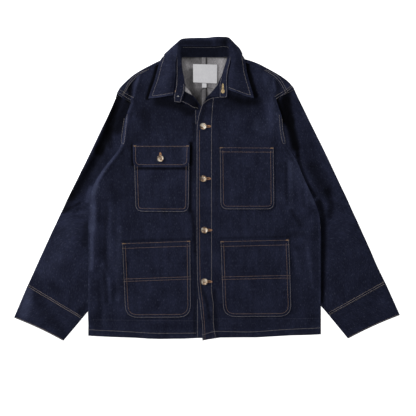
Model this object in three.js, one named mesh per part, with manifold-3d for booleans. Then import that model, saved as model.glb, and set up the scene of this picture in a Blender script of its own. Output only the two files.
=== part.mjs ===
// A denim chore jacket laid flat on its back, buttoned, with its sleeves spread beside it.
// Millimetres, +Z up from the surface it lies on, +Y toward the collar, +X toward the wearer's left.
// Half tables give x as a distance outward from the middle, for the wearer's right or left half.

import * as THREE from 'three';
import { mergeVertices } from 'three/addons/utils/BufferGeometryUtils.js';
import Module from 'manifold-3d';

const wasm = await Module();
wasm.setup();

const CLOTH = 1.5;            // wall of the denim
const POCKET_CLOTH = 1.2;
const LABEL_CLOTH = 1;
const SEAM = 0.3;             // air left at every seam and between stacked pieces
const BODY_GAP = 3.8;         // air between the back and the fronts
const COVERED_SLEEVE = 4.7;   // height of a sleeve where the body lies on it
const OPEN_SLEEVE = 6.8;      // height of a sleeve beside the body
const SLEEVE_RISE = { from: 6, to: 36 };  // distances from the body's edge
const SLEEVE_EDGE = 4;        // how far in from its edges a sleeve's height is taken for its rounded edges
const OVER_SLEEVE = 5.9;      // height of the back's underside where a sleeve passes below it
const TENT = { from: 5, to: 36 };  // where the back comes down beside the hidden sleeve
const BESIDE_BODY = 400;      // a distance outward that lies past the body
const SIDE_GAP = 0.5;         // air between back and front at the side seam
const SIDE_REACH = 28;        // how far the front takes to rise from the side seam
const SEAM_ONSET = { below: 40, above: 25 };  // around the underarm, where the side seam's gap sets in
const FOLD_FADE = { sideFrom: 2, sideTo: 26, hemFrom: -385, hemTo: -350 };  // folds die out at the edges
const PLACKET_RAISE = { height: 2.3, full: 13, none: 36, topFull: 206, topNone: 230 };
const ROLL_LAP = 3;           // how far the rolled shoulder edge runs into the back that it is part of
const BACK_INSET = 0.45;      // how far the back's edge stays inside the side seam's line
const NECK_DIP = 0.5;         // how much lower the back's neckline is in the middle
const CENTRE_BACK_X = -1.5;
const CUTTER_HEIGHT = 60;     // past every panel that a patch is cut from
const BUTTON = { radius: 8.5, height: 3.4, dish: 5.4, seat: 6, sides: 18, shank: 0.4 };
const PLACE = { x: 0, y: 1.1 };  // brings the middle of the laid-out jacket to the origin

// Armhole of the back, from the outer end of the shoulder to the underarm: x, y
const armhole = {
  right: [[230.5, 242], [204, 213], [202, 200], [203.5, 181], [206, 160], [209, 139], [216, 116], [227, 97],
    [246, 73], [266, 48], [285, 17], [297, -14], [302, -37]],
  left: [[220, 251], [190, 215], [187, 200], [188.5, 181], [191, 160], [194, 139], [200, 115], [211, 97],
    [228, 70], [243, 36], [260, -3], [276, -40], [285, -62]],
};

// Back: the fold over the shoulder and the shoulder seam, from the armhole to the neck
// foldX, foldY, seamX, seamY
const shoulder = {
  right: [[230.5, 242, 217, 233.5], [222, 257, 207, 250], [207, 272.5, 194.5, 267.5], [188, 289, 177, 285],
    [169, 301, 159.5, 297], [143, 315, 139.5, 308.5], [117, 327, 114.5, 321], [92, 333, 91, 327],
    [67, 336, 67, 330]],
  left: [[220, 251, 198, 241.5], [209, 265, 190, 256], [193, 278, 180, 272], [174, 290, 167, 283.5],
    [152, 302, 148, 296], [128, 315, 125, 308.5], [100, 326.5, 98.5, 320.5], [76, 332.5, 75, 326.5],
    [54, 336, 54, 330]],
};

// Side seam from the hem to the underarm: x, y
const sideSeam = {
  right: [[302, -372], [303, -340], [303, -312], [303, -284], [303, -253], [303, -221], [303, -189],
    [303, -157], [303, -129], [303, -101], [302.5, -70], [302, -50]],
  left: [[289, -369], [290, -340], [290, -312], [289.5, -284], [289, -253], [289, -221], [289, -189],
    [289, -157], [289, -129], [289, -101], [287, -84], [285.5, -71]],
};

// Fronts, a row for each crossing from the outer edge to the front edge: outerX, outerY, frontX, frontY
const frontRows = {
  right: [[303, -373, -10, -381], [303, -340, -10, -348], [303, -312, -10, -318], [303, -284, -10, -289],
    [303, -253, -10, -256], [303, -221, -10, -223], [303, -189, -10, -190], [303, -157, -10, -157],
    [303, -129, -10, -129], [303, -101, -10, -101], [302.5, -75, -10, -78], [301, -48, -10, -48],
    [297, -14, -10, -19], [285, 17, -10, 11], [266, 48, -10, 42], [246, 73, -10, 73], [227, 97, -10, 101],
    [218, 116, -10, 126], [213, 149, -10, 152], [207, 182, -10, 175], [198, 207, 9, 200],
    [194, 219, 17, 211], [217, 233.5, 28, 227], [207, 250, 41, 242], [194.5, 267.5, 51, 256],
    [177, 285, 57, 268], [159.5, 297, 60, 287], [139.5, 308.5, 64, 305], [114.5, 321, 65, 319],
    [91, 327, 67, 330]],
  left: [[290, -369, -12, -387], [290, -340, -13, -351], [289.5, -312, -16, -322], [289, -284, -21, -292],
    [289, -253, -23, -259], [289, -221, -25, -226], [289, -189, -26, -191], [289, -157, -26, -157],
    [289, -129, -27, -131], [288, -101, -27, -106], [286, -73, -27, -65], [276, -40, -27, -29],
    [260, -4, -27, 4], [243, 34, -27, 40], [228, 70, -27, 73], [211, 97, -27, 101], [199, 116, -27, 126],
    [194, 149, -26, 149], [190, 182, -24, 171], [182, 207, -18, 199], [176, 228, -12, 214],
    [198, 241.5, -2, 229], [190, 256, 11, 245], [180, 272, 25, 261], [167, 283.5, 33, 279],
    [148, 296, 42, 297], [125, 308.5, 48, 312], [98.5, 320.5, 53, 325], [75, 326.5, 54, 330]],
};

// Sleeves, a row for each section: outerX, outerY, underX, underY, overX, overY
// The under layer's inner edge follows the armhole and the over layer's hides below the front; past the
// underarm both meet in the underarm seam.
const sleeveRows = {
  right: [[231, 241.2, 205, 212, 188, 213.5], [235, 232, 203, 199, 184, 200],
    [240, 222, 204.5, 181, 184, 187],
    [249, 202, 207, 160, 190, 165], [260, 178, 210, 139, 196, 142], [271, 154, 217, 116, 202, 120],
    [282, 130, 228, 97, 211, 97], [294, 103, 247, 73, 229, 72], [307, 75, 267, 48, 249, 45],
    [320, 46, 286, 17, 268, 14], [331, 22, 298, -14, 284, -15], [342, -2, 303.2, -37, 301, -37],
    [353, -27, 305, -72, 305, -72], [362, -48, 285, -92, 285, -92], [371, -68, 258, -117, 258, -117],
    [380, -89, 238, -146, 238, -146], [392, -115, 230, -178, 230, -178], [404, -141, 234, -212, 234, -212],
    [417, -170, 249, -246, 249, -246], [430, -200, 272, -279, 272, -279], [443, -228, 304, -312, 304, -312],
    [457.5, -248.5, 320.5, -329.5, 320.5, -329.5]],
  left: [[220.5, 250.2, 191, 214, 168, 224], [226, 238, 188, 199, 166, 205], [234, 221, 189.5, 181, 170, 186],
    [245, 199, 192, 160, 174, 164], [256, 176, 195, 139, 179, 142], [267, 154, 201, 115, 184, 118],
    [278, 132, 212, 97, 194, 97], [290, 108, 229, 70, 211, 69], [303, 81, 244, 36, 226, 34],
    [317, 51, 261, -3, 243, -6], [329, 26, 277, -40, 262, -41], [341, 1, 286.2, -62, 283, -62],
    [350, -18, 292, -97, 292, -97], [360, -41, 268, -120, 268, -120], [371, -64, 250, -136, 250, -136],
    [380, -82, 233, -155, 233, -155], [390, -103, 218, -186, 218, -186], [402, -130, 219, -222, 219, -222],
    [416, -163, 234, -252, 234, -252], [429, -194, 261, -284, 261, -284], [442, -220, 294, -306, 294, -306],
    [454.5, -243.5, 312.5, -321.5, 312.5, -321.5]],
};
const UNDERARM_ROW = 11;  // the row of the table at the underarm

// Cuffs: the corners at the seam with the sleeve and at the open end
const cuffCorners = {
  right: { seamOuter: [458, -249], seamInner: [320.9, -330.2], endOuter: [489, -327], endInner: [368, -387] },
  left: { seamOuter: [455, -244], seamInner: [312.9, -322.2], endOuter: [489, -331], endInner: [360, -382] },
};

// Folds, a row each: fromX, fromY, toX, toY, reach, height
const frontFolds = {
  right: [[285, -50, 283, -190, 9, 2.5], [263, -50, 262, -185, 10, -2], [248, -250, 249, -288, 11, 2.5],
    [150, 60, 120, -110, 24, 1.5], [230, 30, 190, -100, 20, -1.6], [80, -60, 95, -130, 22, -1.4],
    [160, 215, 120, 150, 18, -1.5]],
  left: [[127, 243, 160, 172, 12, -2], [146, 250, 182, 168, 11, 2], [258, 0, 250, -70, 11, 2.5],
    [236, 10, 226, -120, 16, -1.8], [196, -20, 176, -110, 22, 1.4], [80, -80, 70, -125, 20, -1.2]],
};
const sleeveFolds = {
  right: [[222, 215, 245, 164, 13, -2.2], [245, 164, 288, 40, 12, -2.4], [270, 175, 300, 110, 16, 2],
    [365, -50, 306, -70, 14, -2], [393, -119, 372, -185, 22, 2], [330, -30, 372, -110, 13, 1.6],
    [350, -200, 330, -260, 16, -1.5]],
  left: [[181, 226, 208, 165, 12, -2.6], [208, 165, 236, 78, 12, -2.8], [216, 226, 236, 96, 13, 3],
    [262, 20, 308, -98, 15, -2], [330, -30, 352, -110, 16, 1.8], [385, -130, 350, -160, 16, -1.5],
    [400, -180, 360, -260, 18, 1.6]],
};

// Collar stand, a row for each section from the wearer's right end round the back to the left end:
// neckX, neckY, neckZ, topX, topY, topZ
const standRows = [
  [-67, 218, 11.6, -84, 220, 11.8], [-63, 230, 11.6, -85, 234, 12], [-58, 246, 10, -83, 246, 12],
  [-57, 264, 8.6, -80, 261, 12.2], [-59, 282, 8.2, -79, 277, 13], [-63, 302, 8.2, -78, 297, 14.5],
  [-65, 320, 8.4, -78, 318, 15.5], [-65, 332, 8.6, -79, 340, 16], [-59, 336.8, 7.5, -74, 361.5, 15],
  [-44, 337.2, 5, -54, 361.5, 13], [-23, 337.2, 3.4, -26, 361.5, 11.5], [-2, 337.2, 3, -2, 361.5, 11],
  [20, 337.2, 3.4, 23, 362, 11.5], [36, 337.2, 5, 40, 364, 13], [46, 337.2, 7.5, 54.5, 361, 15],
  [52, 333, 8.6, 60, 340, 16.5], [48, 320, 8.4, 58.5, 320, 17], [43, 305, 8.2, 54.5, 305, 16.5],
  [38, 289, 8.2, 52, 288, 15], [34, 277, 8.2, 51, 273, 13], [30.5, 261, 8.2, 52, 256, 11],
  [31, 244, 8.2, 52, 243, 9.4], [31, 231, 8.2, 51, 232, 8.8],
];

// Collar fall, a row for each section, in the stand's order, from the seam over the roll to the free edge:
// seamX, seamY, seamZ, rollX, rollY, rollZ, sideX, sideY, sideZ, edgeX, edgeY, edgeZ
const collarRows = [
  [-86.5, 237, 13, -100, 235, 14.5, -125, 231, 11, -149.5, 229, 8.2],
  [-84.5, 256, 13.2, -97, 254, 16, -120, 251, 12, -143, 250, 8.2],
  [-82, 277, 14.5, -93, 276, 17.5, -113, 275, 13, -134, 275, 8.2],
  [-80.5, 297, 16, -91, 297, 19, -108, 298, 14, -127, 300, 8.4],
  [-80.5, 317, 17, -90.5, 318.5, 20, -107, 321, 14.5, -119.5, 325, 8.8],
  [-82, 335, 17.5, -94, 340, 19, -114.5, 340.5, 9.5, -110, 342, 1.3],
  [-80, 351, 17, -91, 354, 17, -105, 351, 6, -98, 345, 0.75],
  [-75.5, 364, 16.2, -81, 368.5, 16.5, -87, 366, 5.5, -85, 349, 0.75],
  [-55, 364, 14.5, -60, 375.5, 15.5, -64, 382, 6, -62, 351, 0.75],
  [-27, 364, 13, -32, 375.5, 14.5, -34, 381.5, 5.8, -34, 352, 0.75],
  [-2, 364, 12.5, -2, 375.5, 14, -2, 382, 5.6, -2, 352, 0.75],
  [23.5, 364.5, 13, 25, 377, 14.5, 27, 384.5, 5.8, 27, 352, 0.75],
  [41.5, 366.5, 14.5, 46, 377.5, 15.5, 54, 384, 6, 50, 351, 0.75],
  [57, 363, 16.5, 63, 369, 16.5, 73.5, 369.5, 5.6, 67, 349, 0.75],
  [62, 351, 17.5, 71, 354, 17.5, 87, 355, 6, 78, 345, 0.75],
  [62.5, 337, 18, 76, 341.5, 19, 93, 341, 9.5, 90, 342, 1.3],
  [60.5, 320, 18.5, 72, 321, 21, 87, 322, 14.5, 98, 324.5, 8.8],
  [56.5, 303, 18, 68, 302, 20.5, 87, 300, 14, 103, 299, 8.4],
  [54, 287, 16.5, 67, 283, 19, 89, 278, 13, 109, 275, 8.2],
  [53.5, 271, 14.5, 69, 265, 17, 94, 257, 11.5, 115, 251, 8.2],
  [54, 256, 12.5, 73, 247, 14, 99, 236.5, 10, 119.5, 230, 8.2],
];

// Patch outlines: corners x, y with the radius of each corner
const outlines = {
  pocketChestRight: [[-188, 108, 1], [-44, 108, 1], [-46, -61, 20], [-183, -60, 20]],
  pocketFlap: [[-189, 113, 2], [-44, 113, 2], [-46, 54, 14], [-188, 54, 14]],
  pocketChestLeft: [[31, 106, 1], [170, 105, 1], [172, -54, 20], [33, -54, 20]],
  pocketLowerRight: [[-217, -138, 1], [-42, -132, 1], [-40, -329, 34], [-209, -330, 34]],
  pocketLowerLeft: [[33, -133, 1], [209, -129, 1], [216, -327, 34], [40, -328, 34]],
  facingRight: [[-57, 246.5, 1], [-61.5, 231, 1], [-66, 220, 2], [-47, 211, 2], [-31, 202.5, 2],
    [-22, 200.5, 1], [-23.5, 213, 1], [-31, 226, 1], [-38, 236.5, 1]],
  facingLeft: [[-7, 226.5, 1], [8, 233, 2], [16, 235, 2], [29.5, 232.5, 2], [30, 263, 1], [25, 261.5, 1],
    [11.5, 245, 1]],
  neckLabel: [[-36, 317, 1], [25.5, 315.5, 1], [25, 267.5, 1], [-35.5, 270.5, 1]],
  sizeTab: [[-13, 268.2, 0.8], [-1.5, 267.9, 0.8], [-1.5, 257, 0.8], [-13, 257, 0.8]],
};

// Buttons, in the middle of each: x, y; the stand's is below its end, so it has a height too
const frontButtons = [[-10, 158], [-10, 25], [-7, -106], [-7, -237]];
const flapButtonSpot = [-119, 76];
const standButtonSpot = [-74.5, 228.5, 7.2];

const denim = new THREE.MeshStandardMaterial({ color: 0x1f2337, roughness: 0.92, metalness: 0 });
const denimInside = new THREE.MeshStandardMaterial({ color: 0x6d7078, roughness: 0.94, metalness: 0 });
const labelCloth = new THREE.MeshStandardMaterial({ color: 0xd0ced4, roughness: 0.8, metalness: 0 });
const horn = new THREE.MeshStandardMaterial({ color: 0xb79f7c, roughness: 0.35, metalness: 0 });

const signOf = { right: -1, left: 1 };
const smooth = (from, to, value) => THREE.MathUtils.smoothstep(value, from, to);
const mix = THREE.MathUtils.lerp;

function distanceToSegment(x, y, a, b) {
  const along = [b[0] - a[0], b[1] - a[1]];
  const share = ((x - a[0]) * along[0] + (y - a[1]) * along[1]) / (along[0] ** 2 + along[1] ** 2);
  const t = THREE.MathUtils.clamp(share, 0, 1);
  return Math.hypot(x - a[0] - t * along[0], y - a[1] - t * along[1]);
}

function distanceToPath(x, y, path) {
  let nearest = Infinity;
  for (let i = 0; i + 1 < path.length; i++) {
    nearest = Math.min(nearest, distanceToSegment(x, y, path[i], path[i + 1]));
  }
  return nearest;
}

function isInside(x, y, polygon) {
  let inside = false;
  for (let i = 0, j = polygon.length - 1; i < polygon.length; j = i++) {
    const [ax, ay] = polygon[i];
    const [bx, by] = polygon[j];
    if ((ay > y) !== (by > y) && x < ((bx - ax) * (y - ay)) / (by - ay) + ax) inside = !inside;
  }
  return inside;
}

// A fold is a soft ridge or trough along a line, fading at its ends
function foldHeight(x, y, folds) {
  let sum = 0;
  for (const [fromX, fromY, toX, toY, reach, height] of folds) {
    const away = distanceToSegment(x, y, [fromX, fromY], [toX, toY]) / reach;
    sum += height * Math.exp(-away * away);
  }
  return sum;
}

// Heights, with x measured outward on the given half

const hiddenSleeve = {};
const bodyEdge = {};
const bodyOutline = {};
for (const side of ['right', 'left']) {
  const seam = sideSeam[side];
  const inseam = sleeveRows[side].slice(UNDERARM_ROW + 1, -1).map((row) => [row[2], row[3]]);
  hiddenSleeve[side] = [[BESIDE_BODY, inseam[0][1]], ...inseam, [BESIDE_BODY, inseam.at(-1)[1]]];
  bodyEdge[side] = [...seam, ...frontRows[side].slice(11, 23).map((row) => [row[0], row[1]])];
  bodyEdge[side].push([shoulder[side][0][0], shoulder[side][0][1]]);
  bodyOutline[side] = [...bodyEdge[side], [0, 330], [0, -380]];
}

function backUnderside(side, x, y) {
  const inside = isInside(x, y, hiddenSleeve[side]);
  const away = inside ? 0 : distanceToPath(x, y, hiddenSleeve[side]);
  return OVER_SLEEVE * (1 - smooth(TENT.from, TENT.to, away));
}

// The left front rises where it lies over the right one
function placketRaise(x, y) {
  const { height, full, none, topFull, topNone } = PLACKET_RAISE;
  return height * (1 - smooth(full, none, x)) * (1 - smooth(topFull, topNone, y));
}

function frontUnderside(side, x, y) {
  const underarmY = armhole[side].at(-1)[1];
  const sideX = sideSeam[side][3][0];
  const belowUnderarm = 1 - smooth(underarmY - SEAM_ONSET.below, underarmY + SEAM_ONSET.above, y);
  const fromSeam = smooth(0, SIDE_REACH, Math.max(sideX - x, 0));
  const gap = mix(BODY_GAP, mix(SIDE_GAP, BODY_GAP, fromSeam), belowUnderarm);
  const sideFade = smooth(FOLD_FADE.sideFrom, FOLD_FADE.sideTo, sideX - x);
  const hemFade = smooth(FOLD_FADE.hemFrom, FOLD_FADE.hemTo, y);
  const fold = foldHeight(x, y, frontFolds[side]) * sideFade * hemFade;
  return backUnderside(side, x, y) + CLOTH + gap + fold + (side === 'left' ? placketRaise(x, y) : 0);
}

function sleeveTop(side, x, y) {
  const away = isInside(x, y, bodyOutline[side]) ? 0 : distanceToPath(x, y, bodyEdge[side]);
  const open = smooth(SLEEVE_RISE.from, SLEEVE_RISE.to, away);
  return mix(COVERED_SLEEVE, OPEN_SLEEVE, open) + open * foldHeight(x, y, sleeveFolds[side]);
}

// Solids from grids of points

function solidFromIndex(points, index) {
  const geometry = new THREE.BufferGeometry();
  geometry.setAttribute('position', new THREE.Float32BufferAttribute(points.flatMap((p) => p.toArray()), 3));
  let volume = 0;
  for (let i = 0; i < index.length; i += 3) {
    const [a, b, c] = [points[index[i]], points[index[i + 1]], points[index[i + 2]]];
    volume += a.dot(b.clone().cross(c));
  }
  geometry.setIndex(volume > 0 ? index : index.toReversed());
  return geometry;
}

// A wall between two grids of the same rows and columns; a closed one has its last column beside its first
function wallBetween(under, over, closed = false) {
  const rows = under.length;
  const columns = under[0].length;
  const points = [...under.flat(), ...over.flat()];
  const at = (layer, i, j) => layer * rows * columns + i * columns + (j % columns);
  const index = [];
  const quad = (a, b, c, d) => index.push(a, b, c, a, c, d);
  const steps = closed ? columns : columns - 1;
  for (let i = 0; i + 1 < rows; i++) {
    for (let j = 0; j < steps; j++) {
      quad(at(0, i, j), at(0, i + 1, j), at(0, i + 1, j + 1), at(0, i, j + 1));
      quad(at(1, i, j), at(1, i, j + 1), at(1, i + 1, j + 1), at(1, i + 1, j));
    }
    if (!closed) {
      quad(at(0, i, 0), at(1, i, 0), at(1, i + 1, 0), at(0, i + 1, 0));
      quad(at(0, i, steps), at(0, i + 1, steps), at(1, i + 1, steps), at(1, i, steps));
    }
  }
  for (let j = 0; j < steps; j++) {
    quad(at(0, 0, j), at(0, 0, j + 1), at(1, 0, j + 1), at(1, 0, j));
    quad(at(0, rows - 1, j), at(1, rows - 1, j), at(1, rows - 1, j + 1), at(0, rows - 1, j + 1));
  }
  return solidFromIndex(points, index);
}

// Half the wall to each side of a middle surface
function wallAround(middle, thickness, closed = false) {
  const rows = middle.length;
  const columns = middle[0].length;
  const normalAt = (i, j) => {
    const before = closed ? (j + columns - 1) % columns : Math.max(j - 1, 0);
    const after = closed ? (j + 1) % columns : Math.min(j + 1, columns - 1);
    const across = middle[i][after].clone().sub(middle[i][before]);
    const along = middle[Math.min(i + 1, rows - 1)][j].clone().sub(middle[Math.max(i - 1, 0)][j]);
    return across.cross(along).normalize().multiplyScalar(thickness / 2);
  };
  const over = middle.map((row, i) => row.map((point, j) => point.clone().add(normalAt(i, j))));
  const under = middle.map((row, i) => row.map((point, j) => point.clone().sub(normalAt(i, j))));
  return wallBetween(under, over, closed);
}

// A cloth laid at a given height over the plan of a grid, its wall measured square to its slope
function clothOver(plan, underside, thickness = CLOTH) {
  const step = 2;
  const steepness = (x, y) => {
    const slopeX = (underside(x + step, y) - underside(x - step, y)) / (2 * step);
    const slopeY = (underside(x, y + step) - underside(x, y - step)) / (2 * step);
    return Math.sqrt(1 + slopeX ** 2 + slopeY ** 2);
  };
  const under = plan.map((row) => row.map(([x, y]) => new THREE.Vector3(x, y, underside(x, y))));
  const over = plan.map((row) =>
    row.map(([x, y]) => new THREE.Vector3(x, y, underside(x, y) + thickness * steepness(x, y))));
  return { under, over };
}

const raised = (grid, by) => grid.map((row) => row.map((p) => new THREE.Vector3(p.x, p.y, p.z + by)));

function toManifold(geometry) {
  const bare = geometry.clone();
  bare.deleteAttribute('normal');
  bare.deleteAttribute('uv');
  const merged = mergeVertices(bare, 1e-5);
  return new wasm.Manifold(new wasm.Mesh({
    numProp: 3,
    vertProperties: new Float32Array(merged.attributes.position.array),
    triVerts: new Uint32Array(merged.index.array),
  }));
}

function fromManifold(solid) {
  const mesh = solid.getMesh();
  const geometry = new THREE.BufferGeometry();
  geometry.setAttribute('position', new THREE.BufferAttribute(new Float32Array(mesh.vertProperties), 3));
  geometry.setIndex([...mesh.triVerts]);
  return geometry;
}

// An outline of straight sides with rounded corners
function roundedShape(corners) {
  const shape = new THREE.Shape();
  const toward = (from, to, reach) => {
    const length = Math.hypot(to[0] - from[0], to[1] - from[1]);
    return [from[0] + ((to[0] - from[0]) * reach) / length, from[1] + ((to[1] - from[1]) * reach) / length];
  };
  corners.forEach((corner, i) => {
    const before = corners.at(i - 1);
    const after = corners[(i + 1) % corners.length];
    const start = toward(corner, before, corner[2]);
    if (i === 0) shape.moveTo(...start);
    else shape.lineTo(...start);
    shape.quadraticCurveTo(corner[0], corner[1], ...toward(corner, after, corner[2]));
  });
  shape.closePath();
  return shape;
}

// A patch of cloth on a panel: the panel's own outer points moved out, cut to the patch's outline
function patchOn(grid, lift, thickness, corners) {
  const slab = toManifold(wallBetween(raised(grid, lift), raised(grid, lift + thickness)));
  const cutter = new THREE.ExtrudeGeometry(roundedShape(corners),
    { depth: CUTTER_HEIGHT, bevelEnabled: false, curveSegments: 4 });
  return fromManifold(slab.intersect(toManifold(cutter)));
}

// Main pieces

const spread = (count) => Array.from({ length: count }, (_, i) => i / (count - 1));

function backPiece(side) {
  const sign = signOf[side];
  const middle = sign * CENTRE_BACK_X + SEAM / 2;
  const shares = [0, 0.25, 0.48, 0.6, 0.68, 0.76, 0.84, 0.92, 1];
  const outer = [...sideSeam[side], ...armhole[side].toReversed().slice(0, -1),
    ...shoulder[side].map(([x, y]) => [x, y])];
  const hemY = outer[0][1];
  const topY = outer.at(-1)[1];
  const plan = outer.map(([x, y]) => {
    const edge = x - BACK_INSET;
    const middleY = mix(hemY, topY - NECK_DIP, (y - hemY) / (topY - hemY));
    return shares.map((share) => [sign * mix(middle, edge, share), mix(middleY, y, share)]);
  });
  const panel = clothOver(plan, (x, y) => backUnderside(side, sign * x, y));
  const roll = shoulderRoll(side);
  return fromManifold(toManifold(wallBetween(panel.under, panel.over)).add(toManifold(roll)));
}

// The back's upper edge, rolled over the shoulder and lying beside the front
function shoulderRoll(side) {
  const sign = signOf[side];
  const turn = edgeTurn(CLOTH + BODY_GAP + CLOTH / 2);
  const middle = shoulder[side].map(([foldX, foldY, seamX, seamY]) => {
    const reach = Math.hypot(foldX - seamX, foldY - seamY);
    const out = [(foldX - seamX) / reach, (foldY - seamY) / reach];
    const point = (inward, z) =>
      new THREE.Vector3(sign * (foldX - inward * out[0]), foldY - inward * out[1], z);
    const turned = [-60, -30, 0, 30, 60].map((degrees) => {
      const angle = THREE.MathUtils.degToRad(degrees);
      return point(turn.inset - turn.radius * Math.cos(angle), turn.centre + turn.radius * Math.sin(angle));
    });
    return [point(turn.inset + ROLL_LAP, turn.low), point(turn.inset, turn.low), ...turned,
      point(turn.inset, turn.high), point(reach, turn.high)];
  });
  return wallAround(middle, CLOTH);
}

function frontPiece(side) {
  const sign = signOf[side];
  const rows = frontRows[side];
  const shares = [0, 0.05, 0.11, 0.18, 0.26, 0.34, 0.42, 0.5, 0.58, 0.66, 0.74, 0.82, 0.89, 0.95, 1];
  const plan = rows.map(([outerX, outerY, frontX, frontY], i) => {
    const onShoulder = i >= rows.length - shoulder[side].length + 1;
    const edge = onShoulder ? [outerX - SEAM, outerY - SEAM] : [outerX, outerY];
    return shares.map((share) => [sign * mix(edge[0], frontX, share), mix(edge[1], frontY, share)]);
  });
  return clothOver(plan, (x, y) => frontUnderside(side, sign * x, y));
}

// A sleeve: one sheet from the under layer's inner edge, round the outer edge, to the over layer's inner edge
function sleevePiece(side) {
  const sign = signOf[side];
  const middle = sleeveRows[side].map(([outerX, outerY, underX, underY, overX, overY], row) => {
    // Curled edges meet in the underarm seam, and flat ones lie in the armhole
    const curl = THREE.MathUtils.clamp((row - UNDERARM_ROW + 1) / 2, 0, 1) ** 0.5;
    const line = (toX, toY) => {
      const width = Math.hypot(toX - outerX, toY - outerY);
      const at = (inward) => [mix(outerX, toX, inward / width), mix(outerY, toY, inward / width)];
      return { width, at, point: (inward, z) => new THREE.Vector3(sign * at(inward)[0], at(inward)[1], z) };
    };
    const below = line(underX, underY);
    const above = line(overX, overY);
    const side45 = line(mix(underX, overX, 0.5), mix(underY, overY, 0.5));
    const highAt = (inward) => sleeveTop(side, ...above.at(inward)) - CLOTH / 2;
    const outerTurn = edgeTurn(highAt(SLEEVE_EDGE));
    const innerTurn = edgeTurn(highAt(above.width - SLEEVE_EDGE));
    const lowRun = [below.width - innerTurn.inset, outerTurn.inset];
    const highRun = [outerTurn.inset, above.width - innerTurn.inset];
    return [
      below.point(below.width - innerTurn.low * curl, mix(innerTurn.low, innerTurn.centre - SEAM / 2, curl)),
      below.point(lowRun[0] + innerTurn.slant, mix(innerTurn.low, innerTurn.centre - innerTurn.slant, curl)),
      ...spread(5).map((share) => below.point(mix(...lowRun, share), innerTurn.low)),
      ...[-45, 0, 45].map((degrees) => {
        const angle = THREE.MathUtils.degToRad(degrees);
        return side45.point(outerTurn.inset - outerTurn.radius * Math.cos(angle),
          outerTurn.centre + outerTurn.radius * Math.sin(angle));
      }),
      ...spread(9).map((share) => {
        const inward = mix(...highRun, share);
        const high = share === 1 ? innerTurn.high : highAt(Math.max(inward, SLEEVE_EDGE));
        return above.point(inward, high);
      }),
      above.point(highRun[1] + innerTurn.slant, mix(innerTurn.high, innerTurn.centre + innerTurn.slant, curl)),
      above.point(above.width - innerTurn.low * curl, mix(innerTurn.high, innerTurn.centre + SEAM / 2, curl)),
    ];
  });
  return wallAround(middle, CLOTH);
}

// Where the middle of the wall turns through half a circle between two layers
function edgeTurn(high) {
  const low = CLOTH / 2;
  const radius = (high - low) / 2;
  return { low, high, radius, centre: low + radius, inset: low + radius, slant: radius * Math.SQRT1_2 };
}

// A cuff: a flattened tube, open at both ends
function cuffPiece(side) {
  const sign = signOf[side];
  const { seamOuter, seamInner, endOuter, endInner } = cuffCorners[side];
  const turn = edgeTurn(OPEN_SLEEVE - CLOTH / 2);
  const middle = [0, 0.33, 0.66, 1].map((along) => {
    const outer = [mix(seamOuter[0], endOuter[0], along), mix(seamOuter[1], endOuter[1], along)];
    const inner = [mix(seamInner[0], endInner[0], along), mix(seamInner[1], endInner[1], along)];
    const width = Math.hypot(outer[0] - inner[0], outer[1] - inner[1]);
    const point = (inward, z) => {
      const share = inward / width;
      return new THREE.Vector3(sign * mix(outer[0], inner[0], share), mix(outer[1], inner[1], share), z);
    };
    const arc = (centre, from) => spread(5).map((share) => {
      const angle = THREE.MathUtils.degToRad(from + 180 * share);
      return point(centre + turn.radius * Math.cos(angle), turn.centre + turn.radius * Math.sin(angle));
    });
    const run = (from, to, z) => [0.25, 0.5, 0.75].map((share) => point(mix(from, to, share), z));
    return [...arc(turn.inset, 90), ...run(turn.inset, width - turn.inset, turn.low),
      ...arc(width - turn.inset, -90), ...run(width - turn.inset, turn.inset, turn.high)];
  });
  return wallAround(middle, CLOTH, true);
}

// Curves through the sections of the stand and the fall
function sectionGrid(rows, pointsPerRow, samples) {
  return rows.map((row) => {
    const knots = [];
    for (let k = 0; k < pointsPerRow; k++) knots.push(new THREE.Vector3(...row.slice(3 * k, 3 * k + 3)));
    const curve = new THREE.CatmullRomCurve3(knots, false, 'centripetal');
    return spread(samples).map((t) => curve.getPoint(t));
  });
}

// A sewn-through button: a dished disc with a rounded rim, its underside just above what carries it
function buttonPiece() {
  const { radius, height, dish, sides } = BUTTON;
  const profile = [[0, 0], [radius * 0.62, 0], [radius * 0.95, height * 0.35], [radius, height * 0.62],
    [radius * 0.86, height], [dish, height * 0.62], [0, height * 0.58]];
  const geometry = new THREE.LatheGeometry(profile.map(([x, y]) => new THREE.Vector2(x, y)), sides);
  geometry.rotateX(Math.PI / 2);
  geometry.deleteAttribute('normal');
  geometry.deleteAttribute('uv');
  return mergeVertices(geometry, 1e-4);
}

const jacket = new THREE.Group();
jacket.position.set(PLACE.x, PLACE.y, 0);

function addPiece(name, geometry, material) {
  const mesh = new THREE.Mesh(geometry, material);
  mesh.name = name;
  jacket.add(mesh);
  return mesh;
}

const fronts = {};
for (const side of ['right', 'left']) {
  fronts[side] = frontPiece(side);
  addPiece(`back_${side}`, backPiece(side), denim);
  addPiece(`front_${side}`, wallBetween(fronts[side].under, fronts[side].over), denim);
  addPiece(`sleeve_${side}`, sleevePiece(side), denim);
  addPiece(`cuff_${side}`, cuffPiece(side), denim);
}

addPiece('collar_stand', wallAround(sectionGrid(standRows, 2, 3), CLOTH), denimInside);
addPiece('collar', wallAround(sectionGrid(collarRows, 4, 10), CLOTH), denim);

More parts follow.
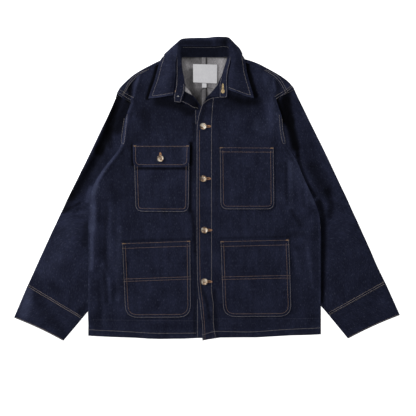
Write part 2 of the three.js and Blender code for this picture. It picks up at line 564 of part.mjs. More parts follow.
const flapLift = 2 * SEAM + POCKET_CLOTH;
const patches = [
  ['pocket_chest_right', 'right', outlines.pocketChestRight],
  ['pocket_chest_left', 'left', outlines.pocketChestLeft],
  ['pocket_lower_right', 'right', outlines.pocketLowerRight],
  ['pocket_lower_left', 'left', outlines.pocketLowerLeft],
  ['facing_right', 'right', outlines.facingRight],
  ['facing_left', 'left', outlines.facingLeft],
];
for (const [name, side, outline] of patches) {
  addPiece(name, patchOn(fronts[side].over, SEAM, POCKET_CLOTH, outline), denim);
}
addPiece('pocket_flap', patchOn(fronts.right.over, flapLift, CLOTH, outlines.pocketFlap), denim);

// The label and the tab lie on the flat inside of the back
function patchOnBack(thickness, corners) {
  const geometry = new THREE.ExtrudeGeometry(roundedShape(corners),
    { depth: thickness, bevelEnabled: false, curveSegments: 3 });
  geometry.translate(0, 0, CLOTH + SEAM);
  geometry.deleteAttribute('normal');
  geometry.deleteAttribute('uv');
  return mergeVertices(geometry, 1e-4);
}

addPiece('neck_label', patchOnBack(LABEL_CLOTH, outlines.neckLabel), labelCloth);
addPiece('size_tab', patchOnBack(LABEL_CLOTH, outlines.sizeTab), labelCloth);

// The highest point of the cloth below a button decides how high the button sits
function clothTop(side, [x, y], stacked) {
  const sign = signOf[side];
  const heights = spread(9).map((turn) => {
    const angle = turn * 2 * Math.PI;
    const [overX, overY] = [x + BUTTON.seat * Math.cos(angle), y + BUTTON.seat * Math.sin(angle)];
    return frontUnderside(side, sign * overX, overY);
  });
  return Math.max(...heights) + CLOTH + stacked;
}

frontButtons.forEach((spot, i) => {
  const button = addPiece(`button_front_${i + 1}`, buttonPiece(), horn);
  button.position.set(spot[0], spot[1], clothTop('left', spot, BUTTON.shank));
});
const flapButton = addPiece('button_flap', buttonPiece(), horn);
flapButton.position.set(...flapButtonSpot, clothTop('right', flapButtonSpot, flapLift + CLOTH + 2 * SEAM));
addPiece('button_stand', buttonPiece(), horn).position.set(...standButtonSpot);

export default jacket;
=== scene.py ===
# A denim chore jacket laid flat on its back: cloth shells, stitching, buttons and finishes.
# The garment's own sizes are in millimetres, +X toward the wearer's left and +Y toward the collar.
# Half tables give x as a distance outward from the middle, for the wearer's right or left half.

import math

import bpy
import numpy as np
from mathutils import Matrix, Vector
from mathutils.geometry import delaunay_2d_cdt


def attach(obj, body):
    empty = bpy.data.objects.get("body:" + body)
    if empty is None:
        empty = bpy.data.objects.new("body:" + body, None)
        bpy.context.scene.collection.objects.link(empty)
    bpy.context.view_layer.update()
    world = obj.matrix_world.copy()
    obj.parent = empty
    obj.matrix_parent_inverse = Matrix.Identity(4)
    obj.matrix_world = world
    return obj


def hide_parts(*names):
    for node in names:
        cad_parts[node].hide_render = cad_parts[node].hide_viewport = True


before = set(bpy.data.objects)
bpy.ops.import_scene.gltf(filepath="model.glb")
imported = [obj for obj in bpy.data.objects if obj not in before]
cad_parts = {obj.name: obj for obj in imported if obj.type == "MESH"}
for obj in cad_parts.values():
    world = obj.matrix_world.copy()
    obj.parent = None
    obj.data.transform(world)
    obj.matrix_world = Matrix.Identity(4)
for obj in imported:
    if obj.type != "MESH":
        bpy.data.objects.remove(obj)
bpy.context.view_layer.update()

MM = 0.001
PLACE_Y = 1.1               # how far the garment's zero lies from the frame's origin
SIGN = {"right": -1, "left": 1}
GRAIN_STEP = 3.0            # spacing of the points of a shell

CLOTH = 1.5                 # wall of the denim
POCKET_CLOTH = 1.2
LABEL_CLOTH = 1.0
SEAM = 0.3                  # gap between two pieces that are sewn together
BODY_GAP = 3.8              # air between the back and the fronts
SIDE_GAP = 0.5              # the same at the side seam
LEAST_AIR = 0.4             # air left below the deepest crease
CENTRE_BACK_X = -1.5

COVERED_SLEEVE = 4.7        # height of a sleeve below the body
OPEN_SLEEVE = 6.8           # height of a sleeve beside the body
SLEEVE_RISE = (6, 36)       # how far off the body a sleeve comes up
SLEEVE_EDGE = 4             # width of a sleeve's rounded outer edge
UNDERARM_ROW = 11           # row of the sleeve's table where the underarm seam starts
CUFF_BOW = 2.4              # how far the end of a cuff curves in
CUFF_SECTIONS = 20

OVER_SLEEVE = 5.9           # height of the back where a sleeve passes below it
TENT = (5, 36)              # how far off a hidden sleeve the back comes down
BESIDE_BODY = 400           # an x well outside the body
SIDE_REACH = 28             # how far from the side seam a front reaches its full height
SEAM_ONSET = (40, 25)       # how far below and above the underarm the side seam closes
FOLD_FADE_SIDE = (2, 26)    # where folds fade out toward the side seam
FOLD_FADE_HEM = (-385, -350)
CREASE_FADE_SIDE = (0, 12)
CALM_SIDE = (0, 30)         # where creases and unevenness fade out together
CALM_HEM = (-383, -360)
ROLL_TOP = CLOTH + BODY_GAP + CLOTH
BACK_COLUMNS = 72
FRONT_COLUMNS = 82
UNDER_STAND = 8.0           # how far the back runs in below the collar stand
UNDER_STAND_FROM = (300, 332)
NECK_CORNER = (25, 48)      # x where it runs in further, by this share
NECK_CORNER_SHARE = 0.7
NECK_POINT = (56, 66)       # x where it no longer runs in
ROLL_LAP = 3                # how far the shoulder's roll laps over the back
RIDGE = {"height": 1.9, "inset": 8, "width": 5}

PLACKET_HEIGHT = 2.3        # how far the left front stands up over the right one
PLACKET_SLOPE = (13, 36)
PLACKET_STEP = 0.5          # the placket's own extra layer
PLACKET_EDGE = (12, 15)
PLACKET_TOP = (206, 230)
HEM_WIDTH = 17.0
HEM_EDGE = 3
HEM_STEP = 0.8              # how much the turned hem thickens the cloth

# Unevenness: seeds, then the shortest wave, the longest one and the height, broad and fine
WAVE_SEEDS = {"front_right": 11, "front_left": 12, "sleeve_right": 31, "sleeve_left": 32}
FINE_SEED = 20
FRONT_WAVES = ((60, 190, 0.4), (16, 40, 0.1))
SLEEVE_WAVES = ((50, 170, 0.4), (18, 44, 0.1))
PATCH_WAVES = (22, 70, 0.22)
WAVE_COUNT = 14

# How stitching draws the cloth up: lengths of two waves, the second one's share and phase
PUCKER = {"lengths": (12.5, 19.3), "share": 0.7, "phase": 1.3, "reach": 7, "height": 0.16, "depth": 0.25}

# Patches: the turned edge, the slack in the middle and the layers between
TURNED = {"height": 0.55, "edge": (9, 13)}
SLACK = {"height": 0.5, "edge": (14, 50)}
PATCH_CALM = (2, 20)
FLAP_LIFT = 2 * SEAM + POCKET_CLOTH + 0.3
LABEL_LIFT = 1.1
FELL = {"left": -13.5, "right": -0.4, "top": 338, "bottom": -372, "height": 0.9}

# Thread, a size for each kind of stitch
STITCH = {"pitch": 3.5, "length": 3.1, "width": 0.8}
SATIN = {"pitch": 0.55, "length": 2.4, "width": 0.5}
HOLE_STITCH = {"pitch": 0.5, "length": 2.9, "width": 0.6}
KEYHOLE_STITCH = {"pitch": 0.5, "length": 3.2, "width": 0.6}
KNOT = {"pitch": 0.6, "length": 2.6, "width": 1.1}
SLIT = {"pitch": 0.6, "length": 1.2, "width": 0.9}
BACK_STITCH = {"pitch": 2.2, "length": 2.6, "width": 1.1}
THREAD_LIFT = 0.15          # how far thread stands off the cloth
SLIT_LIFT = 0.3
STITCH_WANDER = 0.05
THREADS = {
    "tan": (0.5, 0.42, 0.36), "gold": (0.5, 0.31, 0.16), "brown": (0.34, 0.23, 0.17),
    "grey": (0.38, 0.35, 0.35), "hole": (0.52, 0.28, 0.15), "pale": (0.9, 0.88, 0.86),
    # the dim grey is the stand's thread darkened as painted shade under the collar; the near-black slit
    # thread paints the shade in buttonhole cuts and along the centre back fell
    "dim": (0.2, 0.19, 0.2), "slit": (0.022, 0.02, 0.026), "faint": (0.14, 0.11, 0.12),
    "navy": (0.05, 0.055, 0.085), "khaki": (0.66, 0.5, 0.27),
}

# Buttons: radius and height from the middle of the top to the rim, then round the underside
BUTTON_RADIUS = 8.5
BUTTON_RINGS = 34
BUTTON_SPOKES = 72
BUTTON_PROFILE = [(0, 1.95), (4.6, 2.1), (5.3, 2.45), (6.0, 3.15), (6.9, 3.4), (7.7, 3.2), (8.3, 2.6),
                  (8.5, 2.0)]
BUTTON_UNDERSIDE = [(8.45, 1.6), (8.1, 1.0), (5.3, 0.0), (3.0, 0.0)]
HOLE_PLACE = 2.3            # how far the four holes lie from the middle
HOLE_DEPTH = 1.5
HOLE_EDGE = (0.55, 1.15)
BUTTON_GAP = 0.3            # air below a button

# Armhole of the back, from the outer end of the shoulder to the underarm: x, y
ARMHOLE = {
    "right": [(230.5, 242), (204, 213), (202, 200), (203.5, 181), (206, 160), (209, 139), (216, 116),
              (227, 97), (246, 73), (266, 48), (285, 17), (297, -14), (302, -37)],
    "left": [(220, 251), (190, 215), (187, 200), (188.5, 181), (191, 160), (194, 139), (200, 115),
             (211, 97), (228, 70), (243, 36), (260, -3), (276, -40), (285, -62)],
}

# The fold over the shoulder and the shoulder seam, from the armhole to the neck
# fold x, fold y, seam x, seam y
SHOULDER = {
    "right": [(230.5, 242, 217, 233.5), (222, 257, 207, 250), (207, 272.5, 194.5, 267.5),
              (188, 289, 177, 285), (169, 301, 159.5, 297), (143, 315, 139.5, 308.5),
              (117, 327, 114.5, 321), (92, 333, 91, 327), (67, 336, 67, 330)],
    "left": [(222.5, 252.5, 198, 241.5), (211.5, 267.5, 190, 256), (195, 281.5, 180, 272),
             (175.5, 294, 167, 283.5), (153, 306.5, 148, 296), (128.5, 319, 125, 308.5),
             (100.5, 328.5, 98.5, 320.5),
             (76, 333, 75, 326.5), (54, 336, 54, 330)],
}

# Side seam from the hem to the underarm: x, y
SIDE_SEAM = {
    "right": [(302, -372), (303, -340), (303, -312), (303, -284), (303, -253), (303, -221), (303, -189),
              (303, -157), (303, -129), (303, -101), (302.5, -70), (302, -50)],
    "left": [(289, -369), (290, -340), (290, -312), (289.5, -284), (289, -253), (289, -221), (289, -189),
             (289, -157), (289, -129), (289, -101), (287, -84), (285.5, -71)],
}

# Fronts, a row for each crossing from the outer edge to the front edge: outer x, outer y, front x, front y
FRONT_ROWS = {
    "right": [(303, -373, -10, -381), (303, -340, -10, -348), (303, -312, -10, -318), (303, -284, -10, -289),
              (303, -253, -10, -256), (303, -221, -10, -223), (303, -189, -10, -190), (303, -157, -10, -157),
              (303, -129, -10, -129), (303, -101, -10, -101), (302.5, -75, -10, -78), (301, -48, -10, -48),
              (297, -14, -10, -19), (285, 17, -10, 11), (266, 48, -10, 42), (246, 73, -10, 73),
              (227, 97, -10, 101), (218, 116, -10, 126), (213, 149, -10, 152), (207, 182, -10, 175),
              (198, 207, 9, 200), (194, 219, 17, 211), (217, 233.5, 28, 227), (207, 250, 41, 242),
              (194.5, 267.5, 51, 256), (177, 285, 57, 268), (159.5, 297, 60, 287), (139.5, 308.5, 64, 305),
              (114.5, 321, 65, 319), (91, 327, 67, 330)],
    "left": [(290, -369, -12, -387), (290, -340, -13, -351), (289.5, -312, -16, -322), (289, -284, -21, -292),
             (289, -253, -23, -259), (289, -221, -25, -226), (289, -189, -26, -191), (289, -157, -26, -157),
             (289, -129, -27, -131), (288, -101, -27, -106), (286, -73, -27, -65), (276, -40, -27, -29),
             (260, -4, -27, 4), (243, 34, -27, 40), (228, 70, -27, 73), (211, 97, -27, 101),
             (199, 116, -27, 126), (194, 149, -26, 149), (190, 182, -24, 171), (182, 207, -18, 199),
             (176, 228, -12, 214), (198, 241.5, -2, 229), (190, 256, 11, 245), (180, 272, 25, 261),
             (167, 283.5, 33, 279), (148, 296, 42, 297), (125, 308.5, 48, 312), (98.5, 320.5, 53, 325),
             (75, 326.5, 54, 330)],
}

# Places along the hem, x outward, with how far its line bows there
HEM_BOW = {
    "right": [(10, 0), (28, -0.9), (59, -3.2), (90, -4.2), (120, -5.5), (151, -5.4), (181, -4),
              (243, -3.4), (303, -2.2)],
    "left": [(-12, 0), (2, 2.3), (33, 4.8), (63, 3.3), (94, 1.7), (125, -0.2), (216, -0.4),
             (247, -1.6), (290, -2.7)],
}
HEM_SETTLES = (-360, -300)   # y where the bow has died away

# Sleeves, a row for each section: outer x, outer y, under x, under y, over x, over y
SLEEVE_ROWS = {
    "right": [(230.5, 241.2, 205, 212, 188, 213.5), (232.5, 232, 203, 199, 184, 200),
              (236.5, 222, 204.5, 181, 184, 187), (245, 202, 207, 160, 190, 165),
              (256, 178, 210, 139, 196, 142), (267.5, 154, 217, 116, 202, 120), (279, 130, 228, 97, 211, 97),
              (291.8, 103, 247, 73, 229, 72), (305.2, 75, 267, 48, 249, 45), (319.8, 46, 286, 17, 268, 14),
              (331.5, 22, 298, -14, 284, -15), (343.6, -2, 300, -37, 298, -37),
              (356, -27, 293.5, -71, 293.5, -71),
              (365.5, -48, 285, -92, 285, -92), (375, -68, 258, -117, 258, -117),
              (384.7, -89, 238, -146, 238, -146), (397, -115, 230, -178, 230, -178),
              (409, -141, 234, -212, 234, -212), (422.4, -170, 249, -246, 249, -246),
              (436, -200, 272, -279, 272, -279), (448.5, -228, 303, -312.5, 303, -312.5),
              (458, -248.5, 318.5, -331.3, 318.5, -331.3)],
    "left": [(222.8, 251.6, 191, 214, 168, 224), (228.6, 238.4, 188, 199, 166, 205),
             (236.8, 221, 189.5, 181, 170, 186), (247.7, 199, 192, 160, 174, 164),
             (258.8, 176, 195, 139, 179, 142), (269.7, 154, 201, 115, 184, 118),
             (280.6, 132, 212, 97, 194, 97), (292.6, 108, 229, 70, 211, 69),
             (305.7, 81, 244, 36, 226, 34), (319.8, 51, 261, -3, 243, -6), (331.5, 26, 277, -40, 262, -41),
             (343.3, 1, 283.5, -62, 280.5, -62), (352.6, -18, 279.5, -97, 279.5, -97),
             (363, -41, 268, -120, 268, -120),
             (373.4, -64, 250, -136, 250, -136), (382, -82, 233, -155, 233, -155),
             (391.3, -103, 218, -186, 218, -186), (403.7, -130, 219, -222, 219, -222),
             (418.4, -163, 234, -252, 234, -252), (431.6, -194, 262, -272, 262, -272),
             (444, -220, 292.5, -302.5, 292.5, -302.5), (455.5, -243.5, 310.3, -323.2, 310.3, -323.2)],
}

# Cuffs: x, y of the seam's outer and inner end, then of the outer and inner corner of the free end
CUFF_CORNERS = {
    "right": ((458.5, -249), (318.9, -332), (492, -328.5), (366, -387.5)),
    "left": ((456, -244), (310.7, -323.9), (491, -322), (358.5, -382)),
}

# Folds, a row each: from x, from y, to x, to y, reach, height
FRONT_FOLDS = {
    "right": [(285, -50, 283, -190, 9, 2.5), (263, -50, 262, -185, 10, -2), (248, -250, 249, -288, 11, 2.5),
              (150, 60, 120, -110, 24, 1.5), (230, 30, 190, -100, 20, -1.6), (80, -60, 95, -130, 22, -1.4),
              (160, 215, 120, 150, 18, -1.5)],
    "left": [(127, 243, 160, 172, 12, -2), (146, 250, 182, 168, 11, 2), (258, 0, 250, -70, 11, 2.5),
             (236, 10, 226, -120, 16, -1.8), (196, -20, 176, -110, 22, 1.4), (80, -80, 70, -125, 20, -1.2)],
}
SLEEVE_FOLDS = {
    "right": [(222, 215, 245, 164, 12, -3.0), (245, 164, 288, 40, 12, -3.0), (270, 175, 300, 110, 16, 2),
              (365, -50, 306, -70, 14, -2), (393, -119, 372, -185, 22, 2), (330, -30, 372, -110, 13, 1.6),
              (350, -200, 330, -260, 16, -1.5), (240, 215, 262, 150, 8, 2.2), (262, 150, 300, 70, 9, 2.4),
              (300, 70, 335, 2, 9, 2.0)],
    "left": [(181, 226, 208, 165, 12, -2.6), (208, 165, 236, 78, 12, -2.8), (216, 226, 236, 96, 13, 3),
             (262, 20, 308, -98, 15, -2), (330, -30, 352, -110, 16, 1.8), (385, -130, 350, -160, 16, -1.5),
             (400, -180, 360, -260, 18, 1.6)],
}

# Finer creases of the fronts and sleeves, in the same columns
FRONT_CREASES = {
    "right": [(170, 290, 190, 230, 6, 1.6), (186, 274, 200, 236, 8, -2.4), (190, 229, 204, 190, 6, 0.9),
              (62, 100, 58, 40, 12, -0.8), (250, -60, 236, -160, 9, 1.2), (272, -205, 268, -300, 10, -1.6),
              (285, -215, 290, -260, 9, -1.4), (258, -180, 244, -240, 8, 1.0), (214, 60, 206, 0, 14, 1.0),
              (38, -60, 60, -122, 10, -0.7), (130, 215, 90, 140, 26, 1.0), (14, -250, 20, -320, 12, -1.1),
              (225, -40, 222, -130, 12, -1.1), (286, -300, 276, -356, 8, 1.0)],
    "left": [(166, 280, 176, 232, 8, -2.0), (120, 262, 128, 236, 10, 1.2), (178, 232, 192, 182, 5, 1.0),
             (232, -70, 224, -190, 14, 0.9), (60, 60, 44, 0, 16, -0.7), (210, -60, 190, -122, 10, 0.7),
             (4, -299, -8, -327, 6, -1.4), (-6, -300, -14, -345, 5, 1.2), (262, -190, 268, -280, 15, -0.9),
             (150, 60, 186, 20, 22, 0.8), (240, -260, 236, -330, 12, 0.8)],
}
SLEEVE_CREASES = {
    "right": [(226, 226, 236, 196, 8, -1.2), (262, 120, 300, 40, 9, -1.4), (302, 44, 340, -20, 10, -1.2),
              (330, -62, 300, -70, 9, -1.6), (318, -86, 290, -96, 8, 1.1), (352, -78, 330, -128, 10, 1.0),
              (300, -140, 262, -176, 12, -1.0), (312, -190, 282, -216, 11, 1.0),
              (380, -150, 392, -206, 12, -0.9),
              (420, -215, 386, -262, 12, 0.9), (360, -262, 330, -300, 12, -0.9),
              (256, 170, 266, 150, 9, 1.1)],
    "left": [(196, 232, 214, 190, 8, -2.0), (232, 150, 250, 92, 12, -2.2), (252, 96, 286, 10, 12, -1.2),
             (300, -62, 286, -110, 12, -1.4), (330, -86, 300, -110, 10, 1.1), (262, -140, 240, -176, 12, 1.1),
             (300, -180, 276, -226, 12, -1.0), (352, -214, 322, -266, 14, 1.0),
             (398, -196, 372, -232, 10, -0.8),
             (240, 214, 262, 150, 12, 0.8), (280, 120, 306, 60, 12, 0.9)],
}

# Collar stand, a row for each section from the wearer's right end round the back to the left end
# neck x, y, z, top x, y, z
STAND_ROWS = [
    (-67, 218, 11.6, -84, 220, 11.8), (-63, 230, 11.6, -85, 234, 12), (-58, 246, 10, -83, 246, 12),
    (-57, 264, 8.6, -80, 261, 12.2), (-59, 282, 8.2, -79, 277, 13), (-63, 302, 8.2, -78, 297, 14.5),
    (-65, 320, 8.4, -78, 318, 15.5), (-65, 331, 8.6, -79, 340, 16), (-59, 334.6, 7.5, -74, 361.5, 15),
    (-44, 334.8, 4.6, -54, 361.5, 13), (-23, 334.6, 3, -26, 361.5, 11.5), (-2, 334.6, 2.5, -2, 361.5, 11),
    (20, 334.6, 3, 23, 362, 11.5), (36, 334.8, 4.6, 40, 364, 13), (46, 335, 7.5, 54.5, 361, 15),
    (52, 333, 8.6, 60, 340, 16.5), (48, 320, 8.4, 58.5, 320, 17), (43, 305, 8.2, 54.5, 305, 16.5),
    (38, 289, 8.2, 52, 288, 15), (34, 277, 8.2, 51, 273, 13), (30.5, 261, 8.2, 52, 256, 11),
    (31, 244, 8.2, 52, 243, 9.4), (31, 231, 8.2, 51, 232, 8.8),
]

# Collar fall, a row for each section in the stand's order, from the seam over the roll to the free edge
# seam x, y, z, roll x, y, z, side x, y, z, edge x, y, z
COLLAR_ROWS = [
    (-86.5, 237, 13, -100, 235, 14.5, -125, 231, 11, -149.5, 229, 8.2),
    (-84.5, 256, 13.2, -97, 254, 16, -120, 251, 12, -143, 250, 8.2),
    (-82, 277, 14.5, -93, 276, 17.5, -113, 275, 13, -134, 275, 8.2),
    (-80.5, 297, 16, -91, 297, 19, -108, 298, 14, -127, 300, 8.4),
    (-80.5, 317, 17, -90.5, 318.5, 20, -107, 321, 14.5, -119.5, 325, 8.8),
    (-77, 336, 18.2, -91, 339, 19.4, -108.5, 339, 9.5, -105, 341, 1.3),
    (-75.5, 350, 18, -88, 353, 17.6, -98.5, 351, 6, -94, 345, 0.75),
    (-72.5, 361.5, 17, -78, 366.5, 17, -82, 364.5, 5.5, -80, 349, 0.75),
    (-54, 360.8, 15, -59, 374, 15.5, -62.5, 379.5, 6, -61, 351, 0.75),
    (-27, 360.8, 13.5, -32, 375.5, 14.5, -34, 381.5, 5.8, -34, 352, 0.75),
    (-2, 360.8, 13, -2, 375.5, 14, -2, 382, 5.6, -2, 352, 0.75),
    (23.5, 361.3, 13.5, 25, 377, 14.5, 27, 384.5, 5.8, 27, 352, 0.75),
    (40, 363.2, 15, 45, 377, 15.5, 51.5, 383.5, 6, 49, 351, 0.75),
    (53.5, 360.8, 17, 62, 368, 17, 70.5, 367.5, 5.6, 66, 349, 0.75),
    (57, 350, 18.4, 70, 353, 18, 84.5, 353, 6, 77, 345, 0.75),
    (57.5, 338, 18.9, 74, 341, 19.4, 88.5, 341, 9.5, 86, 342, 1.3),
    (60.5, 320, 18.5, 72, 321, 21, 86, 322, 14.5, 97, 324.5, 8.8),
    (56.5, 303, 18, 68, 302, 20.5, 85, 300, 14, 100.5, 299, 8.4),
    (54, 287, 16.5, 67, 283, 19, 87, 278, 13, 106.5, 275, 8.2),
    (53.5, 271, 14.5, 69, 265, 17, 93, 257, 11.5, 113.5, 251, 8.2),
    (54, 251, 12.3, 73, 244, 13.6, 99, 234.5, 10, 119, 230, 8.2),
]

# Patch outlines: corners x, y with the radius of each corner
OUTLINES = {
    "pocket_chest_right": [(-188, 108, 1), (-44, 108, 1), (-46, -61, 20), (-183, -60, 20)],
    "pocket_flap": [(-189, 113, 2), (-44, 113, 2), (-46, 54, 19), (-188, 54, 19)],
    "pocket_chest_left": [(31, 106, 1), (170, 105, 1), (172, -54, 20), (33, -54, 20)],
    "pocket_lower_right": [(-217, -138, 1), (-42, -132, 1), (-40, -329, 34), (-209, -330, 34)],
    "pocket_lower_left": [(33, -133, 1), (209, -129, 1), (216, -327, 34), (40, -328, 34)],
    "facing_right": [(-57, 246.5, 1), (-61.5, 231, 1), (-66, 220, 2), (-47, 211, 2), (-31, 202.5, 2),
                     (-22, 200.5, 1), (-23.5, 213, 1), (-31, 226, 1), (-38, 236.5, 1)],
    "facing_left": [(-7, 226.5, 1), (8, 233, 2), (16, 235, 2), (29.5, 232.5, 2), (30, 263, 1),
                    (25, 261.5, 1), (11.5, 245, 1)],
    "neck_label": [(-36, 317, 1), (25.5, 315.5, 1), (25, 267.5, 1), (-35.5, 270.5, 1)],
    "size_tab": [(-13, 268.2, 0.8), (-1.5, 267.9, 0.8), (-1.5, 257, 0.8), (-13, 257, 0.8)],
}

# Stitching on the fronts that isn't round a patch: real x, y
FRONT_SEAMS = {
    "right": [
        [(-302, -359.5), (-207, -364), (-123, -368.5), (-30, -368)],
        [(-29.5, 197), (-28.5, 165)],
        [(-24.5, -284), (-24.5, -378)],
        [(-203.5, 188), (-207.5, 149), (-210.5, 121), (-211.5, 116), (-214, 113.5), (-217, 115),
         (-218.3, 120),
         (-215.2, 149), (-211, 177)],
    ],
    "left": [
        [(-10.5, -372), (22.5, -363.5), (100.5, -365), (205, -358.5), (289, -355)],
        [(29.5, 231.6), (20, 230.9), (7, 227.8), (-4, 220.8), (-11, 213.5), (-16.3, 200), (-21, 184),
         (-24.3, 165),
         (-25.6, 149), (-25.8, 60), (-25.8, -106), (-24.4, -226), (-21.8, -262), (-17.6, -292), (-14.4, -322),
         (-11.4, -351), (-10.4, -384)],
        [(15.5, 229), (11, 159.5), (11, -259), (15.5, -296), (15.5, -335.5), (21.5, -382)],
        [(183.5, 186), (186.5, 147.5), (191.5, 119.5), (193, 115), (195.5, 113.8), (197.8, 116), (198, 120),
         (192.5, 147.5), (190.3, 178)],
    ],
}

# The inner row of the placket, in brown thread, and the faint row at the top of the hem
SECOND_SEAMS = {
    "right": [],
    "left": [[(-19.4, 146), (-19.4, 60), (-19.2, -106), (-18, -226), (-15.6, -262), (-11.6, -292),
              (-8.9, -322),
              (-6.4, -351), (-5.4, -384)]],
}
FAINT_SEAMS = {
    "right": [[(-292, -334), (-209.5, -335), (-26, -337)]],
    "left": [[(12, -332), (211.5, -331.5), (286, -330)]],
}
